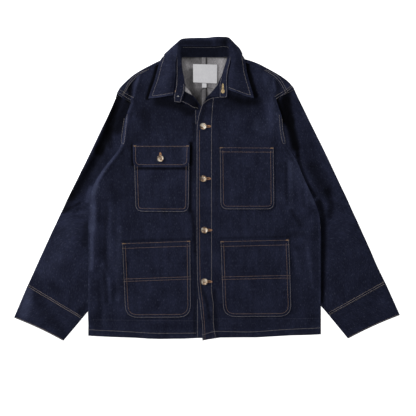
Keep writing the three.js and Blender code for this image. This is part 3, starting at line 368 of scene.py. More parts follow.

# Painted shade and highlight along creases, hollows and raised edges, as paths of x, y outward with a reach
# and a strength:
# below zero paints shade where the cloth lies in a hollow or beside a raised edge, above zero paints a
# highlight along a ridge
PAINTED_SHADING = {
    "front_right": [
        ([(22, 220), (30, 206)], 8, -0.6), ([(196, 264), (196, 238)], 6, -1.5),
        ([(174, 290), (180, 265), (187, 240), (192, 222), (201, 196)], 5, 0.5),
        ([(207, 180), (210, 150), (213, 122), (224, 98), (243, 73), (262, 47), (280, 17),
          (291, -12)], 5, 0.75),
        ([(284, 5), (292, -20), (290, -60), (292, -100)], 9, 0.7),
        ([(293, -100), (294, -160), (296, -205)], 6, 0.7), ([(301, -230), (301, -350)], 2.5, 0.4),
        ([(257, -50), (258, -120), (260, -180), (256, -285)], 6.5, -0.6),
        ([(224, -105), (222, -180), (226, -280)], 9, 0.4),
        ([(200, 95), (205, 30), (200, -30), (185, -110)], 24, -0.33),
        ([(160, 228), (110, 200), (70, 172)], 42, -0.33), ([(205, 150), (196, 105)], 10, -0.3),
        ([(162, 190), (150, 152), (172, 132)], 14, -0.35),
        ([(280, -240), (275, -300), (282, -350)], 10, -0.3),
        ([(225, 80), (243, 32), (236, -20)], 18, -0.3),
        ([(245, -20), (243, -60), (252, -110), (249, -160), (238, -200)], 8, 0.22),
        ([(265, -192), (252, -228)], 4.5, 0.5), ([(251, -232), (246, -290)], 4.5, 0.45),
        ([(264, -300), (262, -345)], 9, 0.2), ([(128, 222), (100, 217), (72, 213), (48, 196)], 14, -0.65),
        ([(151.5, 230), (146, 250), (137.5, 275), (130, 300), (123, 323)], 5, -2.4),
        ([(120, 221), (85, 217), (60, 207), (42, 196)], 11, -0.6), ([(150, 195), (158, 160)], 14, -0.25),
        ([(190, 160), (184, 120)], 10, -0.35), ([(41, 114), (42.5, 60)], 4.6, -2.7),
        ([(42, 50), (43, -58)], 4, -1.2), ([(36, 100), (35, 20)], 7, -0.45),
        ([(38, -60), (33, -110), (31, -160)], 5, -0.9),
        ([(31, -160), (30.5, -290), (32, -372)], 4.5, -0.65), ([(190.5, 110), (189.5, 60)], 3.2, -2.2),
        ([(217, -134), (42, -128)], 3, -0.5), ([(34, 195), (33, 120)], 5, -0.6),
        ([(200, 226), (206, 232)], 6, -1.0), ([(222, -150), (219, -300)], 4, -0.2),
        ([(60, -352), (160, -350)], 8, -0.15),
    ],
    "front_left": [
        ([(100.5, 322), (104, 300), (110.5, 280), (113, 268), (118.5, 252), (124, 237)], 6.2, -2.9),
        ([(58, 232), (90, 221), (118, 221)], 8, -0.7), ([(55, 238), (90, 226), (125, 222)], 13, -0.85),
        ([(52, 214), (100, 208)], 10, -0.35),
        ([(150, 285), (163, 240), (166, 200), (160, 165), (142, 150)], 14, 0.3),
        ([(176, 276), (182, 252), (177, 236)], 6, -0.9), ([(171, 290), (170, 262)], 4, 0.4),
        ([(181, 190), (187, 160), (194, 128), (209, 101), (225, 73), (241, 38), (257, 0),
          (272, -38)], 5, 0.4),
        ([(212, 60), (228, 30), (240, 0), (250, -30)], 14, 0.3),
        ([(200, 65), (201, 20), (203, -40)], 4, -0.5), ([(213, -55), (238, -95)], 5, -0.5),
        ([(268, -25), (280, -52)], 7, 0.3), ([(244, -5), (246, -45)], 6, -0.5),
        ([(211, 65), (212, 10), (214, -50)], 7, 0.4), ([(126, 172), (122, 155)], 9, 0.35),
        ([(15, 205), (130, 212)], 21, -0.33), ([(212, -118), (240, -115)], 9, -0.4),
        ([(185, -20), (212, -60)], 9, 0.2), ([(225, -165), (232, -212)], 8, 0.25),
        ([(250, -135), (260, -190), (268, -250)], 5, 0.32), ([(286, -60), (286, -290)], 3, 0.3),
        ([(-17, -245), (-6, -275), (2, -300), (5, -330)], 4, -0.9),
        ([(19, -262), (19, -300), (20, -335), (26, -375)], 5, -0.65),
        ([(-2, 222), (-10, 200), (-16, 170)], 6, -0.8), ([(4, 225), (25, 222), (45, 228)], 7, -0.6),
        ([(-21, 200), (-25, 150), (-25.5, 40)], 2.5, 0.35), ([(31, -127), (207, -123)], 3, -0.4),
        ([(216, -140), (222, -320)], 4, -0.2), ([(190, 95), (182, 20)], 8, -0.15),
    ],
    "sleeve_right": [
        ([(224, 240), (236, 205), (247, 172), (253, 150), (264, 120), (274, 98)], 12.5, -2.3),
        ([(274, 98), (290, 66), (308, 38), (325, 14), (342, -20)], 12, -1.3),
        ([(346, -18), (362, -50)], 12, -1.0), ([(366, -60), (325, -38)], 4, -0.8),
        ([(203, 216), (213, 190), (223, 165), (230, 150)], 13, -1.5), ([(296, 0), (304, -30)], 8, 0.5),
        ([(330, -50), (306, -62)], 8, 0.35), ([(306, -92), (311, -142)], 9, -0.6),
        ([(356, -100), (380, -170), (412, -205)], 24, 0.28), ([(392, -245), (378, -262)], 10, -0.3),
        ([(312, -298), (322, -315)], 8, -0.6), ([(248, 208), (268, 160), (300, 92)], 4, 0.4),
        ([(262, 80), (285, 45), (320, -5)], 12, -0.35), ([(234, 205), (243, 168), (252, 130)], 9, -0.4),
        ([(300, 78), (318, 38), (335, 2)], 14, -0.3), ([(248, 150), (247, 108)], 7, -0.9),
        ([(204, 233), (198, 224)], 7, -1.3), ([(312, -52), (330, -52)], 6, -0.4),
    ],
    "sleeve_left": [
        ([(200, 222), (203, 200), (209, 172)], 13, -2.9),
        ([(209, 172), (217, 140), (225, 106)], 10, -2.9), ([(206, 238), (201, 225)], 9, -1.4),
        ([(176, 231), (184, 207), (193, 174)], 6.5, -2.2), ([(229, 100), (231, 84)], 5, -1.6),
        ([(275, 50), (285, 10)], 14, -0.22),
        ([(230, 84), (240, 52), (250, 26), (262, 0), (275, -20)], 4.5, -1.1),
        ([(268, 55), (290, 20), (305, -5)], 16, -0.7),
        ([(249, 190), (272, 150), (296, 100), (322, 45)], 7, 0.25),
        ([(284, -35), (292, -60), (296, -100), (295.5, -160), (292.5, -220), (290, -285)], 7.8, -1.6),
        ([(305, -5), (316, -40), (312, -70)], 8, -0.9), ([(348, -112), (368, -84)], 12, 0.15),
        ([(330, -170), (350, -205)], 9, -0.15), ([(252, 150), (262, 110)], 12, -0.2),
    ],
    "cuff_right": [
        ([(454, -262), (466, -318)], 15, 0.75),
        ([(437, -265), (415, -310), (380, -350), (366, -376)], 14, -0.35),
    ],
    "cuff_left": [
        ([(440, -280), (450, -310)], 8, 0.12), ([(400, -300), (420, -340)], 14, -0.1),
    ],
    "pocket_chest_right": [
        ([(190, 50.5), (44, 50.5)], 3.2, -1.2), ([(55, 40), (55, -40)], 6, 0.12),
    ],
    "facing_right": [
        ([(54, 240), (40, 224), (28, 212)], 15, -1.5), ([(24, 206), (24, 216)], 8, -0.8),
    ],
    "pocket_flap": [
        ([(-160, 57), (-70, 57)], 3, 0.3), ([(-187.5, 108), (-187, 62)], 2.5, 0.4),
        ([(-56, 100), (-56, 66)], 10, 0.35),
    ],
    "back_right": [
        ([(43, 298), (42, 275), (38, 250), (26, 232)], 10, -0.85), ([(20, 240), (8, 214)], 14, -0.8),
        ([(58, 325), (52, 305)], 8, 0.2), ([(60, 336), (10, 336)], 5, -0.5),
        ([(18, 262), (16, 240)], 9, -0.4), ([(44, 334), (26, 322), (8, 328)], 12, -0.75),
        ([(41, 278), (36, 245)], 8, -0.5), ([(25, 226), (14, 214)], 9, -1),
        ([(34, 300), (34, 288)], 8, -0.5), ([(206, 240), (198, 224), (197, 213)], 9, -2.2),
    ],
    "back_left": [
        ([(184, 240), (179, 227), (186, 214)], 9, -2.2), ([(207, 247), (200, 238)], 6, -1.0),
        ([(36, 322), (31, 285)], 12, 0.35), ([(-2, 238), (-8, 216)], 8, -0.7),
        ([(16, 254), (6, 241)], 6, 0.2), ([(48, 336), (4, 336)], 4, -0.5),
    ],
    "centre_back_fell": [
        ([(-1.2, 338), (-1.2, -372)], 1.9, -2.3), ([(-8, 262), (-8, 216)], 9, -0.45),
        ([(-8, 337), (-8, 333)], 4, -0.5),
    ],
    "collar": [
        ([(-60, 370), (-2, 369), (44, 371)], 8, -0.8), ([(-70, 366), (-66, 378)], 5, -0.5),
        ([(44, 366), (46, 382)], 7, -0.9), ([(12, 381), (16, 370)], 6, 0.5),
        ([(-50, 380), (-30, 381)], 3, 0.3), ([(-80, 300), (-80, 360)], 8, 0.5),
        ([(-112, 262), (-104, 316)], 13, 0.1), ([(72, 300), (78, 262)], 10, 0.15),
        ([(-147, 230), (-125, 232), (-88, 239)], 4, 0.5),
        ([(58, 250), (75, 244), (100, 235), (116, 231)], 4, 0.4),
    ],
    "stand": [
        ([(-72, 318), (-74, 362)], 7, 0.5),
    ],
    "facing_left": [
        ([(4, 232), (-2, 226)], 6, -0.5),
    ],
}
# limits of the painted shade and highlight
PAINTED_SHADING_LIMITS = (-2.9, 0.95)
STAND_BACK_PAINTED_SHADE = 0.4      # painted shade: the stand is this much darker at the back of the neck, where the collar shades it

# Plan geometry on arrays

def smooth(low, high, value):
    t = np.clip((value - low) / (high - low), 0, 1)
    return t * t * (3 - 2 * t)


def mix(a, b, share):
    return a + (b - a) * share


def segment_share(x, y, a, b):
    along_x, along_y = b[0] - a[0], b[1] - a[1]
    share = ((x - a[0]) * along_x + (y - a[1]) * along_y) / (along_x ** 2 + along_y ** 2)
    t = np.clip(share, 0, 1)
    return np.hypot(x - a[0] - t * along_x, y - a[1] - t * along_y), t


def distance_to_path(x, y, path):
    nearest = np.full(np.shape(x), np.inf)
    for a, b in zip(path, path[1:]):
        nearest = np.minimum(nearest, segment_share(x, y, a, b)[0])
    return nearest


def is_inside(x, y, polygon):
    inside = np.zeros(np.shape(x), bool)
    previous = polygon[-1]
    for corner in polygon:
        (ax, ay), (bx, by) = corner, previous
        if ay != by:
            inside ^= ((ay > y) != (by > y)) & (x < (bx - ax) * (y - ay) / (by - ay) + ax)
        previous = corner
    return inside


def folds(x, y, table):
    total = np.zeros(np.shape(x))
    for from_x, from_y, to_x, to_y, reach, height in table:
        away = segment_share(x, y, (from_x, from_y), (to_x, to_y))[0] / reach
        total += height * np.exp(-away * away)
    return total


def painted_shading_at(name, x, y):
    """Painted shade and highlight: the share of the plain colour's brightness at each place of a piece; x is
    outward.
    """
    total = np.zeros(np.shape(x))
    for path, reach, strength in PAINTED_SHADING.get(name, []):
        total += strength * np.exp(-(distance_to_path(x, y, path) / reach) ** 3)
    return np.exp(np.clip(total, *PAINTED_SHADING_LIMITS))


def ripple(x, y, seed, shortest, longest, height):
    """Soft uneven waves in every direction."""
    chance = np.random.default_rng(seed)
    total = np.zeros(np.shape(x))
    for _ in range(WAVE_COUNT):
        turn = chance.uniform(0, math.pi)
        reach = chance.uniform(shortest, longest)
        phase = chance.uniform(0, 2 * math.pi)
        total += np.sin((x * math.cos(turn) + y * math.sin(turn)) * 2 * math.pi / reach + phase)
    return height * total / math.sqrt(WAVE_COUNT)


def uneven_cloth(x, y, piece, waves):
    broad, fine = waves
    seed = WAVE_SEEDS[piece]
    return ripple(x, y, seed, *broad) + ripple(x, y, seed + FINE_SEED, *fine)


def level(height):
    """A flat surface, as a function of x and y."""
    return lambda x, y: np.full(np.shape(x), float(height))


def smooth_columns(table, step):
    """Rows between the rows of a table, on monotone curves through each column."""
    rows = np.array(table, float)
    count, columns = rows.shape
    run = np.concatenate([[0], np.cumsum(np.maximum(np.hypot(*(rows[1:, :2] - rows[:-1, :2]).T), 1))])
    samples = []
    for k in range(count - 1):
        pieces = max(1, math.ceil((run[k + 1] - run[k]) / step))
        samples.extend(np.linspace(run[k], run[k + 1], pieces, endpoint=False))
    samples = np.array(samples + [run[-1]])
    return np.stack([monotone(run, rows[:, c], samples) for c in range(columns)], axis=1)


def monotone(knots, values, samples):
    widths = np.diff(knots)
    slopes = np.diff(values) / widths
    tangents = np.zeros(len(values))
    for k in range(1, len(values) - 1):
        if slopes[k - 1] * slopes[k] > 0:
            first = 2 * widths[k] + widths[k - 1]
            second = widths[k] + 2 * widths[k - 1]
            tangents[k] = (first + second) / (first / slopes[k - 1] + second / slopes[k])
    tangents[0], tangents[-1] = slopes[0], slopes[-1]
    k = np.clip(np.searchsorted(knots, samples, side="right") - 1, 0, len(widths) - 1)
    t = (samples - knots[k]) / widths[k]
    return ((1 + 2 * t) * (1 - t) ** 2 * values[k] + t * (1 - t) ** 2 * widths[k] * tangents[k]
            + t * t * (3 - 2 * t) * values[k + 1] + t * t * (t - 1) * widths[k] * tangents[k + 1])


# Heights, with x measured outward on the given half

hidden_sleeve, body_edge, body_outline, armhole_edge = {}, {}, {}, {}
for side in ("right", "left"):
    inseam = [(row[2], row[3]) for row in SLEEVE_ROWS[side][UNDERARM_ROW + 1:-1]]
    hidden_sleeve[side] = [(BESIDE_BODY, inseam[0][1])] + inseam + [(BESIDE_BODY, inseam[-1][1])]
    hidden_sleeve[side].append(hidden_sleeve[side][0])
    body_edge[side] = SIDE_SEAM[side] + [row[:2] for row in FRONT_ROWS[side][11:23]] + [SHOULDER[side][0][:2]]
    body_outline[side] = body_edge[side] + [(0, 330), (0, -380)]
    armhole_edge[side] = [row[:2] for row in FRONT_ROWS[side][11:22]]


def back_underside(side, x, y):
    inside = is_inside(x, y, hidden_sleeve[side])
    away = np.where(inside, 0, distance_to_path(x, y, hidden_sleeve[side]))
    return OVER_SLEEVE * (1 - smooth(*TENT, away))


def placket_raise(height, slope, x, y):
    return height * (1 - smooth(*slope, x)) * (1 - smooth(*PLACKET_TOP, y))


def front_underside(side, x, y):
    underarm_y = ARMHOLE[side][-1][1]
    side_x = SIDE_SEAM[side][3][0]
    below = 1 - smooth(underarm_y - SEAM_ONSET[0], underarm_y + SEAM_ONSET[1], y)
    from_seam = smooth(0, SIDE_REACH, np.maximum(side_x - x, 0))
    gap = mix(BODY_GAP, mix(SIDE_GAP, BODY_GAP, from_seam), below)
    fade = smooth(*FOLD_FADE_SIDE, side_x - x) * smooth(*FOLD_FADE_HEM, y)
    total = back_underside(side, x, y) + CLOTH + gap + folds(x, y, FRONT_FOLDS[side]) * fade
    return total + placket_raise(PLACKET_HEIGHT, PLACKET_SLOPE, x, y) if side == "left" else total


def hem_bow(side, x):
    """How far the hem lies off the straight line between its ends."""
    places, offsets = np.array(HEM_BOW[side]).T
    return np.interp(x, places, offsets)


def hem_line(side, x):
    outer_x, outer_y, front_x, front_y = FRONT_ROWS[side][0]
    return outer_y + (front_y - outer_y) * (outer_x - x) / (outer_x - front_x) + hem_bow(side, x)


def hem_rise(side, x, y):
    return HEM_STEP * (1 - smooth(HEM_WIDTH, HEM_WIDTH + HEM_EDGE, y - hem_line(side, x)))


def contour_ridge(side, x, y):
    """The cloth of a front stands up in a soft ridge just inside the armhole."""
    away = distance_to_path(x, y, armhole_edge[side])
    return RIDGE["height"] * np.exp(-((away - RIDGE["inset"]) / RIDGE["width"]) ** 2)


def front_top(side, x, y):
    """Height of a front's outer surface with its creases and soft unevenness; x is outward."""
    inward = SIDE_SEAM[side][3][0] - x
    calm = smooth(*CALM_SIDE, inward) * smooth(*CALM_HEM, y)
    crease = folds(x, y, FRONT_CREASES[side]) * smooth(*CREASE_FADE_SIDE, inward)
    placket = placket_raise(PLACKET_STEP, PLACKET_EDGE, x, y) if side == "left" else 0
    crease = crease + contour_ridge(side, x, y)
    uneven = uneven_cloth(x, y, f"front_{side}", FRONT_WAVES)
    top = front_underside(side, x, y) + CLOTH + (uneven + crease) * calm
    top = np.maximum(top, back_underside(side, x, y) + 2 * CLOTH + LEAST_AIR)
    return top + hem_rise(side, x, y) + placket + pucker(side, SIGN[side] * x, y)


def sleeve_top(side, x, y):
    away = np.where(is_inside(x, y, body_outline[side]), 0, distance_to_path(x, y, body_edge[side]))
    opened = smooth(*SLEEVE_RISE, away)
    uneven = uneven_cloth(x, y, f"sleeve_{side}", SLEEVE_WAVES)
    shape = folds(x, y, SLEEVE_FOLDS[side]) + folds(x, y, SLEEVE_CREASES[side]) + uneven
    return np.maximum(mix(COVERED_SLEEVE, OPEN_SLEEVE, opened) + opened * shape, 2 * CLOTH + LEAST_AIR)


def pucker(side, x, y):
    """Cloth drawn up in short uneven waves beside the stitching."""
    total = np.zeros(np.shape(x))
    for line in FRONT_SEAMS[side]:
        run = 0.0
        nearest = np.full(np.shape(x), np.inf)
        place = np.zeros(np.shape(x))
        for a, b in zip(line, line[1:]):
            away, share = segment_share(x, y, a, b)
            length = math.hypot(b[0] - a[0], b[1] - a[1])
            closer = away < nearest
            nearest = np.where(closer, away, nearest)
            place = np.where(closer, run + share * length, place)
            run += length
        turns = [place * 2 * math.pi / length for length in PUCKER["lengths"]]
        wave = np.sin(turns[0]) + PUCKER["share"] * np.sin(turns[1] + PUCKER["phase"])
        total += np.exp(-(nearest / PUCKER["reach"]) ** 2) * (PUCKER["height"] * wave - PUCKER["depth"])
    return total


# Meshes

SHARP_ANGLE = 50


def placed(points):
    out = np.array(points, float).reshape(-1, 3) * MM
    out[:, 1] += PLACE_Y * MM
    return out


def make_mesh(name, points, faces, materials, face_material, uv, painted_shading_values):
    mesh = bpy.data.meshes.new(name)
    mesh.from_pydata(placed(points).tolist(), [], [list(map(int, f)) for f in faces])
    for material in materials:
        mesh.materials.append(material)
    mesh.polygons.foreach_set("material_index", np.asarray(face_material, np.int32))
    layer = mesh.uv_layers.new(name="cloth")
    corner = np.zeros(len(mesh.loops), np.int32)
    mesh.loops.foreach_get("vertex_index", corner)
    layer.data.foreach_set("uv", (np.asarray(uv, float)[corner] * MM).ravel().astype(np.float32))
    # the painted shade and highlight of each point, a factor on the finish's colour
    dye = mesh.attributes.new("dye", "FLOAT", "POINT")
    dye.data.foreach_set("value", np.asarray(painted_shading_values, np.float32))
    mesh.polygons.foreach_set("use_smooth", np.ones(len(mesh.polygons), bool))
    mesh.validate()
    mesh.update()
    mesh.set_sharp_from_angle(angle=math.radians(SHARP_ANGLE))
    made = bpy.data.objects.new(name, mesh)
    bpy.context.scene.collection.objects.link(made)
    return made


def volume_of(points, faces):
    points = np.asarray(points, float)
    total = 0.0
    for size in (3, 4):
        group = np.array([f for f in faces if len(f) == size], int)
        if len(group):
            a, b, c = points[group[:, 0]], points[group[:, 1]], points[group[:, 2]]
            total += np.einsum("ij,ij->i", a, np.cross(b, c)).sum()
            if size == 4:
                d = points[group[:, 3]]
                total += np.einsum("ij,ij->i", a, np.cross(c, d)).sum()
    return total


def grid_shell(under, over, closed=False):
    """A wall between two grids: points, faces and a face tag, 0 over, 1 under, 2 rim."""
    rows, columns = under.shape[:2]
    points = np.concatenate([under.reshape(-1, 3), over.reshape(-1, 3)])
    steps = columns if closed else columns - 1
    i, j = np.meshgrid(np.arange(rows - 1), np.arange(steps), indexing="ij")
    i, j = i.ravel(), j.ravel()
    k = (j + 1) % columns

    def at(layer, r, c):
        return layer * rows * columns + r * columns + c

    low = np.stack([at(0, i, j), at(0, i + 1, j), at(0, i + 1, k), at(0, i, k)], axis=1)
    high = np.stack([at(1, i, j), at(1, i, k), at(1, i + 1, k), at(1, i + 1, j)], axis=1)
    rims = []
    j = np.arange(steps)
    k = (j + 1) % columns
    first, last = np.zeros(steps, int), np.full(steps, rows - 1)
    rims.append(np.stack([at(0, first, j), at(0, first, k), at(1, first, k), at(1, first, j)], axis=1))
    rims.append(np.stack([at(0, last, j), at(1, last, j), at(1, last, k), at(0, last, k)], axis=1))
    if not closed:
        i = np.arange(rows - 1)
        left, right = np.zeros(rows - 1, int), np.full(rows - 1, columns - 1)
        ends = [at(0, i, left), at(1, i, left), at(1, i + 1, left), at(0, i + 1, left)]
        rims.append(np.stack(ends, axis=1))
        ends = [at(0, i, right), at(0, i + 1, right), at(1, i + 1, right), at(1, i, right)]
        rims.append(np.stack(ends, axis=1))
    rim = np.concatenate(rims)
    faces = np.concatenate([low, high, rim])
    tags = np.concatenate([np.full(len(low), 1), np.zeros(len(high), int), np.full(len(rim), 2)])
    if volume_of(points, faces) < 0:
        faces = faces[:, ::-1]
    return points, faces, tags


def wall_around(middle, thickness, closed=False):
    """Half the wall to each side of a middle surface."""
    if closed:
        across = np.roll(middle, -1, axis=1) - np.roll(middle, 1, axis=1)
    else:
        across = np.gradient(middle, axis=1)
    along = np.gradient(middle, axis=0)
    normal = np.cross(across, along)
    normal /= np.maximum(np.linalg.norm(normal, axis=2, keepdims=True), 1e-9)
    half = normal * thickness / 2
    return middle - half, middle + half


def rounded_outline(corners, step=3.0):
    """Straight sides with rounded corners, as evenly spaced points."""
    path = []
    count = len(corners)
    for i, (x, y, radius) in enumerate(corners):
        before, after = np.array(corners[i - 1][:2]), np.array(corners[(i + 1) % count][:2])
        corner = np.array((x, y), float)
        start = corner + (before - corner) * radius / np.linalg.norm(before - corner)
        end = corner + (after - corner) * radius / np.linalg.norm(after - corner)
        pieces = max(2, math.ceil(radius * 1.6 / step))
        for t in np.linspace(0, 1, pieces + 1):
            path.append((1 - t) ** 2 * start + 2 * t * (1 - t) * corner + t * t * end)
        next_corner = np.array(corners[(i + 1) % count][:2], float)
        next_radius = corners[(i + 1) % count][2]
        stop = next_corner + (corner - next_corner) * next_radius / np.linalg.norm(corner - next_corner)
        pieces = max(1, math.ceil(np.linalg.norm(stop - end) / step))
        for t in np.linspace(0, 1, pieces + 1)[1:-1]:
            path.append(end + (stop - end) * t)
    return np.array(path)


EDGE_SHARE = 0.45           # share of a step that inner points keep from the outline


def patch_shell(outline, low_height, high_height):
    """A patch of cloth inside an outline, between two heights given by functions of x and y."""
    step = GRAIN_STEP
    spans = [np.arange(low + step / 2, high, step) for low, high in zip(outline.min(0), outline.max(0))]
    x, y = [v.ravel() for v in np.meshgrid(*spans)]
    loop = [tuple(p) for p in outline]
    keep = is_inside(x, y, loop) & (distance_to_path(x, y, loop + loop[:1]) > step * EDGE_SHARE)
    inner = np.stack([x[keep], y[keep]], axis=1)
    plan = np.concatenate([outline, inner])
    count = len(outline)
    edges = [(i, (i + 1) % count) for i in range(count)]
    found = delaunay_2d_cdt([Vector(p) for p in plan], edges, [list(range(count))], 1, 1e-6)
    plan = np.array([tuple(v) for v in found[0]])
    triangles = np.array([f for f in found[2] if len(f) == 3], int)
    a, b, c = plan[triangles[:, 0]], plan[triangles[:, 1]], plan[triangles[:, 2]]
    turn = (b[:, 0] - a[:, 0]) * (c[:, 1] - a[:, 1]) - (b[:, 1] - a[:, 1]) * (c[:, 0] - a[:, 0])
    triangles[turn < 0] = triangles[turn < 0][:, ::-1]
    total = len(plan)
    points = np.concatenate([
        np.column_stack([plan, low_height(plan[:, 0], plan[:, 1])]),
        np.column_stack([plan, high_height(plan[:, 0], plan[:, 1])])])
    uses = {(t[k], t[(k + 1) % 3]): True for t in triangles for k in range(3)}
    rims = [(p, q, q + total, p + total) for p, q in uses if (q, p) not in uses]
    faces = [tuple(t[::-1]) for t in triangles] + [tuple(t + total) for t in triangles] + rims
    tags = [1] * len(triangles) + [0] * len(triangles) + [2] * len(rims)
    return points, faces, np.array(tags)


# Materials are filled in below, once the pieces are made
def cloth_material(name):
    material = bpy.data.materials.new(name)
    material.use_nodes = True
    return material


denim, denim_inside, label_cloth, horn, floor_paper = [
    cloth_material(name) for name in ("denim", "denim_inside", "label_cloth", "horn", "floor_paper")]
thread = {colour: cloth_material(f"thread_{colour}") for colour in THREADS}

pieces = {}


def add_piece(name, shell, materials=None, uv=None, replaces=(), slot="denim", flip_faces=False, painted_shading_values=None):
    points, faces, tags = shell
    materials = materials or [denim, denim_inside]
    index = [len(materials) - 1 if tag == 1 else 0 for tag in tags]
    if flip_faces:
        index = [0 if tag != 0 else len(materials) - 1 for tag in tags]
    points = np.asarray(points)
    if uv is None:
        uv = points[:, :2]
    plain_name = name.removeprefix("cloth_")
    outward = points[:, 0] * (-1 if plain_name.endswith("right") else 1)
    # painted shade and highlight from the table, unless given
    if painted_shading_values is None:
        painted_shading_values = painted_shading_at(plain_name, outward, points[:, 1])
    made = make_mesh(name, points, faces, materials, index, uv, painted_shading_values)
    pieces[name] = (made, list(replaces), slot)


def join_shells(*shells):
    points, faces, tags = [], [], []
    offset = 0
    for p, f, t in shells:
        points.append(np.asarray(p))
        faces.extend([tuple(int(v) + offset for v in face) for face in f])
        tags.append(np.asarray(t))
        offset += len(p)
    return np.concatenate(points), faces, np.concatenate(tags)


def edge_turn(high):
    """Low and high level, radius, centre height, inset and slant of a fold up to a height."""
    low = CLOTH / 2
    radius = (high - low) / 2
    return low, high, radius, low + radius, low + radius, radius * math.sqrt(0.5)


def width_so_far(surface):
    """Distance across the cloth from its first column, at each point."""
    steps = np.linalg.norm(np.diff(surface, axis=1), axis=2)
    return np.concatenate([np.zeros((len(surface), 1)), np.cumsum(steps, axis=1)], axis=1)


def both_sides_uv(first, second):
    """Texture places of the two sides of a wall."""
    uv = np.stack([first, second], axis=2).reshape(-1, 2)
    return np.concatenate([uv, uv])


# Backs

def back_shell(side):
    sign = SIGN[side]
    middle_x = sign * CENTRE_BACK_X + SEAM / 2
    outer = SIDE_SEAM[side] + ARMHOLE[side][::-1][:-1] + [row[:2] for row in SHOULDER[side]]
    outer = smooth_columns(outer, GRAIN_STEP)
    hem_y, top_y = outer[0, 1], outer[-1, 1]
    shares = np.linspace(0, 1, BACK_COLUMNS)[None, :]
    edge_x = outer[:, :1] - 1.5 * SEAM
    middle_y = mix(hem_y, top_y - 0.5, (outer[:, 1:2] - hem_y) / (top_y - hem_y))
    x = mix(middle_x, edge_x, shares)
    y = mix(middle_y, outer[:, 1:2], shares)
    reach = 1 + NECK_CORNER_SHARE * smooth(*NECK_CORNER, x)
    y = y + UNDER_STAND * reach * smooth(*UNDER_STAND_FROM, y) * (1 - smooth(*NECK_POINT, x))
    low = back_underside(side, x, y)
    panel = grid_shell(np.stack([sign * x, y, low], axis=2), np.stack([sign * x, y, low + CLOTH], axis=2))
    return join_shells(panel, shoulder_roll(side))


def shoulder_roll(side):
    sign = SIGN[side]
    low, high, radius, centre, inset, _ = edge_turn(ROLL_TOP - CLOTH / 2)
    rows = smooth_columns(SHOULDER[side], GRAIN_STEP)
    fold, seam = rows[:, :2], rows[:, 2:]
    reach = np.hypot(*(fold - seam).T)
    out = (fold - seam) / reach[:, None]
    columns = [(inset + ROLL_LAP, low + 0.02), (inset, low)]
    for degrees in range(-80, 81, 20):
        angle = math.radians(degrees)
        columns.append((inset - radius * math.cos(angle), centre + radius * math.sin(angle)))
    columns.append((inset, high))
    flat = [(share, high) for share in np.linspace(0, 1, 5)[1:]]
    middle = []
    for point, direction, width in zip(fold, out, reach):
        line = [(*(point - direction * inward), z) for inward, z in columns]
        line += [(*(point - direction * mix(inset, width, share)), z) for share, z in flat]
        middle.append(line)
    middle = np.array(middle)
    middle[:, :, 0] *= sign
    under, over = wall_around(middle, CLOTH)
    points, faces, tags = grid_shell(under, over)
    if (over[:, -1, 2] < under[:, -1, 2]).mean() <= 0.5:
        tags = np.where(tags == 2, 2, 1 - tags)
    return points, faces, tags


for side in ("right", "left"):
    add_piece(f"cloth_back_{side}", back_shell(side), replaces=[f"back_{side}"], flip_faces=True)


# Fronts

def front_plan(side):
    rows = [list(row) for row in FRONT_ROWS[side]]
    on_shoulder = len(rows) - len(SHOULDER[side]) + 1
    for row in rows[on_shoulder:]:
        row[0] -= SEAM
        row[1] -= SEAM
    rows = smooth_columns(rows, GRAIN_STEP)
    shares = np.linspace(0, 1, FRONT_COLUMNS)[None, :]
    x = mix(rows[:, 0:1], rows[:, 2:3], shares)
    y = mix(rows[:, 1:2], rows[:, 3:4], shares)
    y = y + hem_bow(side, x) * (1 - smooth(*HEM_SETTLES, y))
    return x, y


for side in ("right", "left"):
    sign = SIGN[side]
    x, y = front_plan(side)
    top = front_top(side, x, y)
    shell = grid_shell(np.stack([sign * x, y, top - CLOTH], axis=2), np.stack([sign * x, y, top], axis=2))
    add_piece(f"cloth_front_{side}", shell, replaces=[f"front_{side}"])


# Sleeves: one sheet from the under layer's inner edge, round the outer edge, to the over layer's inner edge

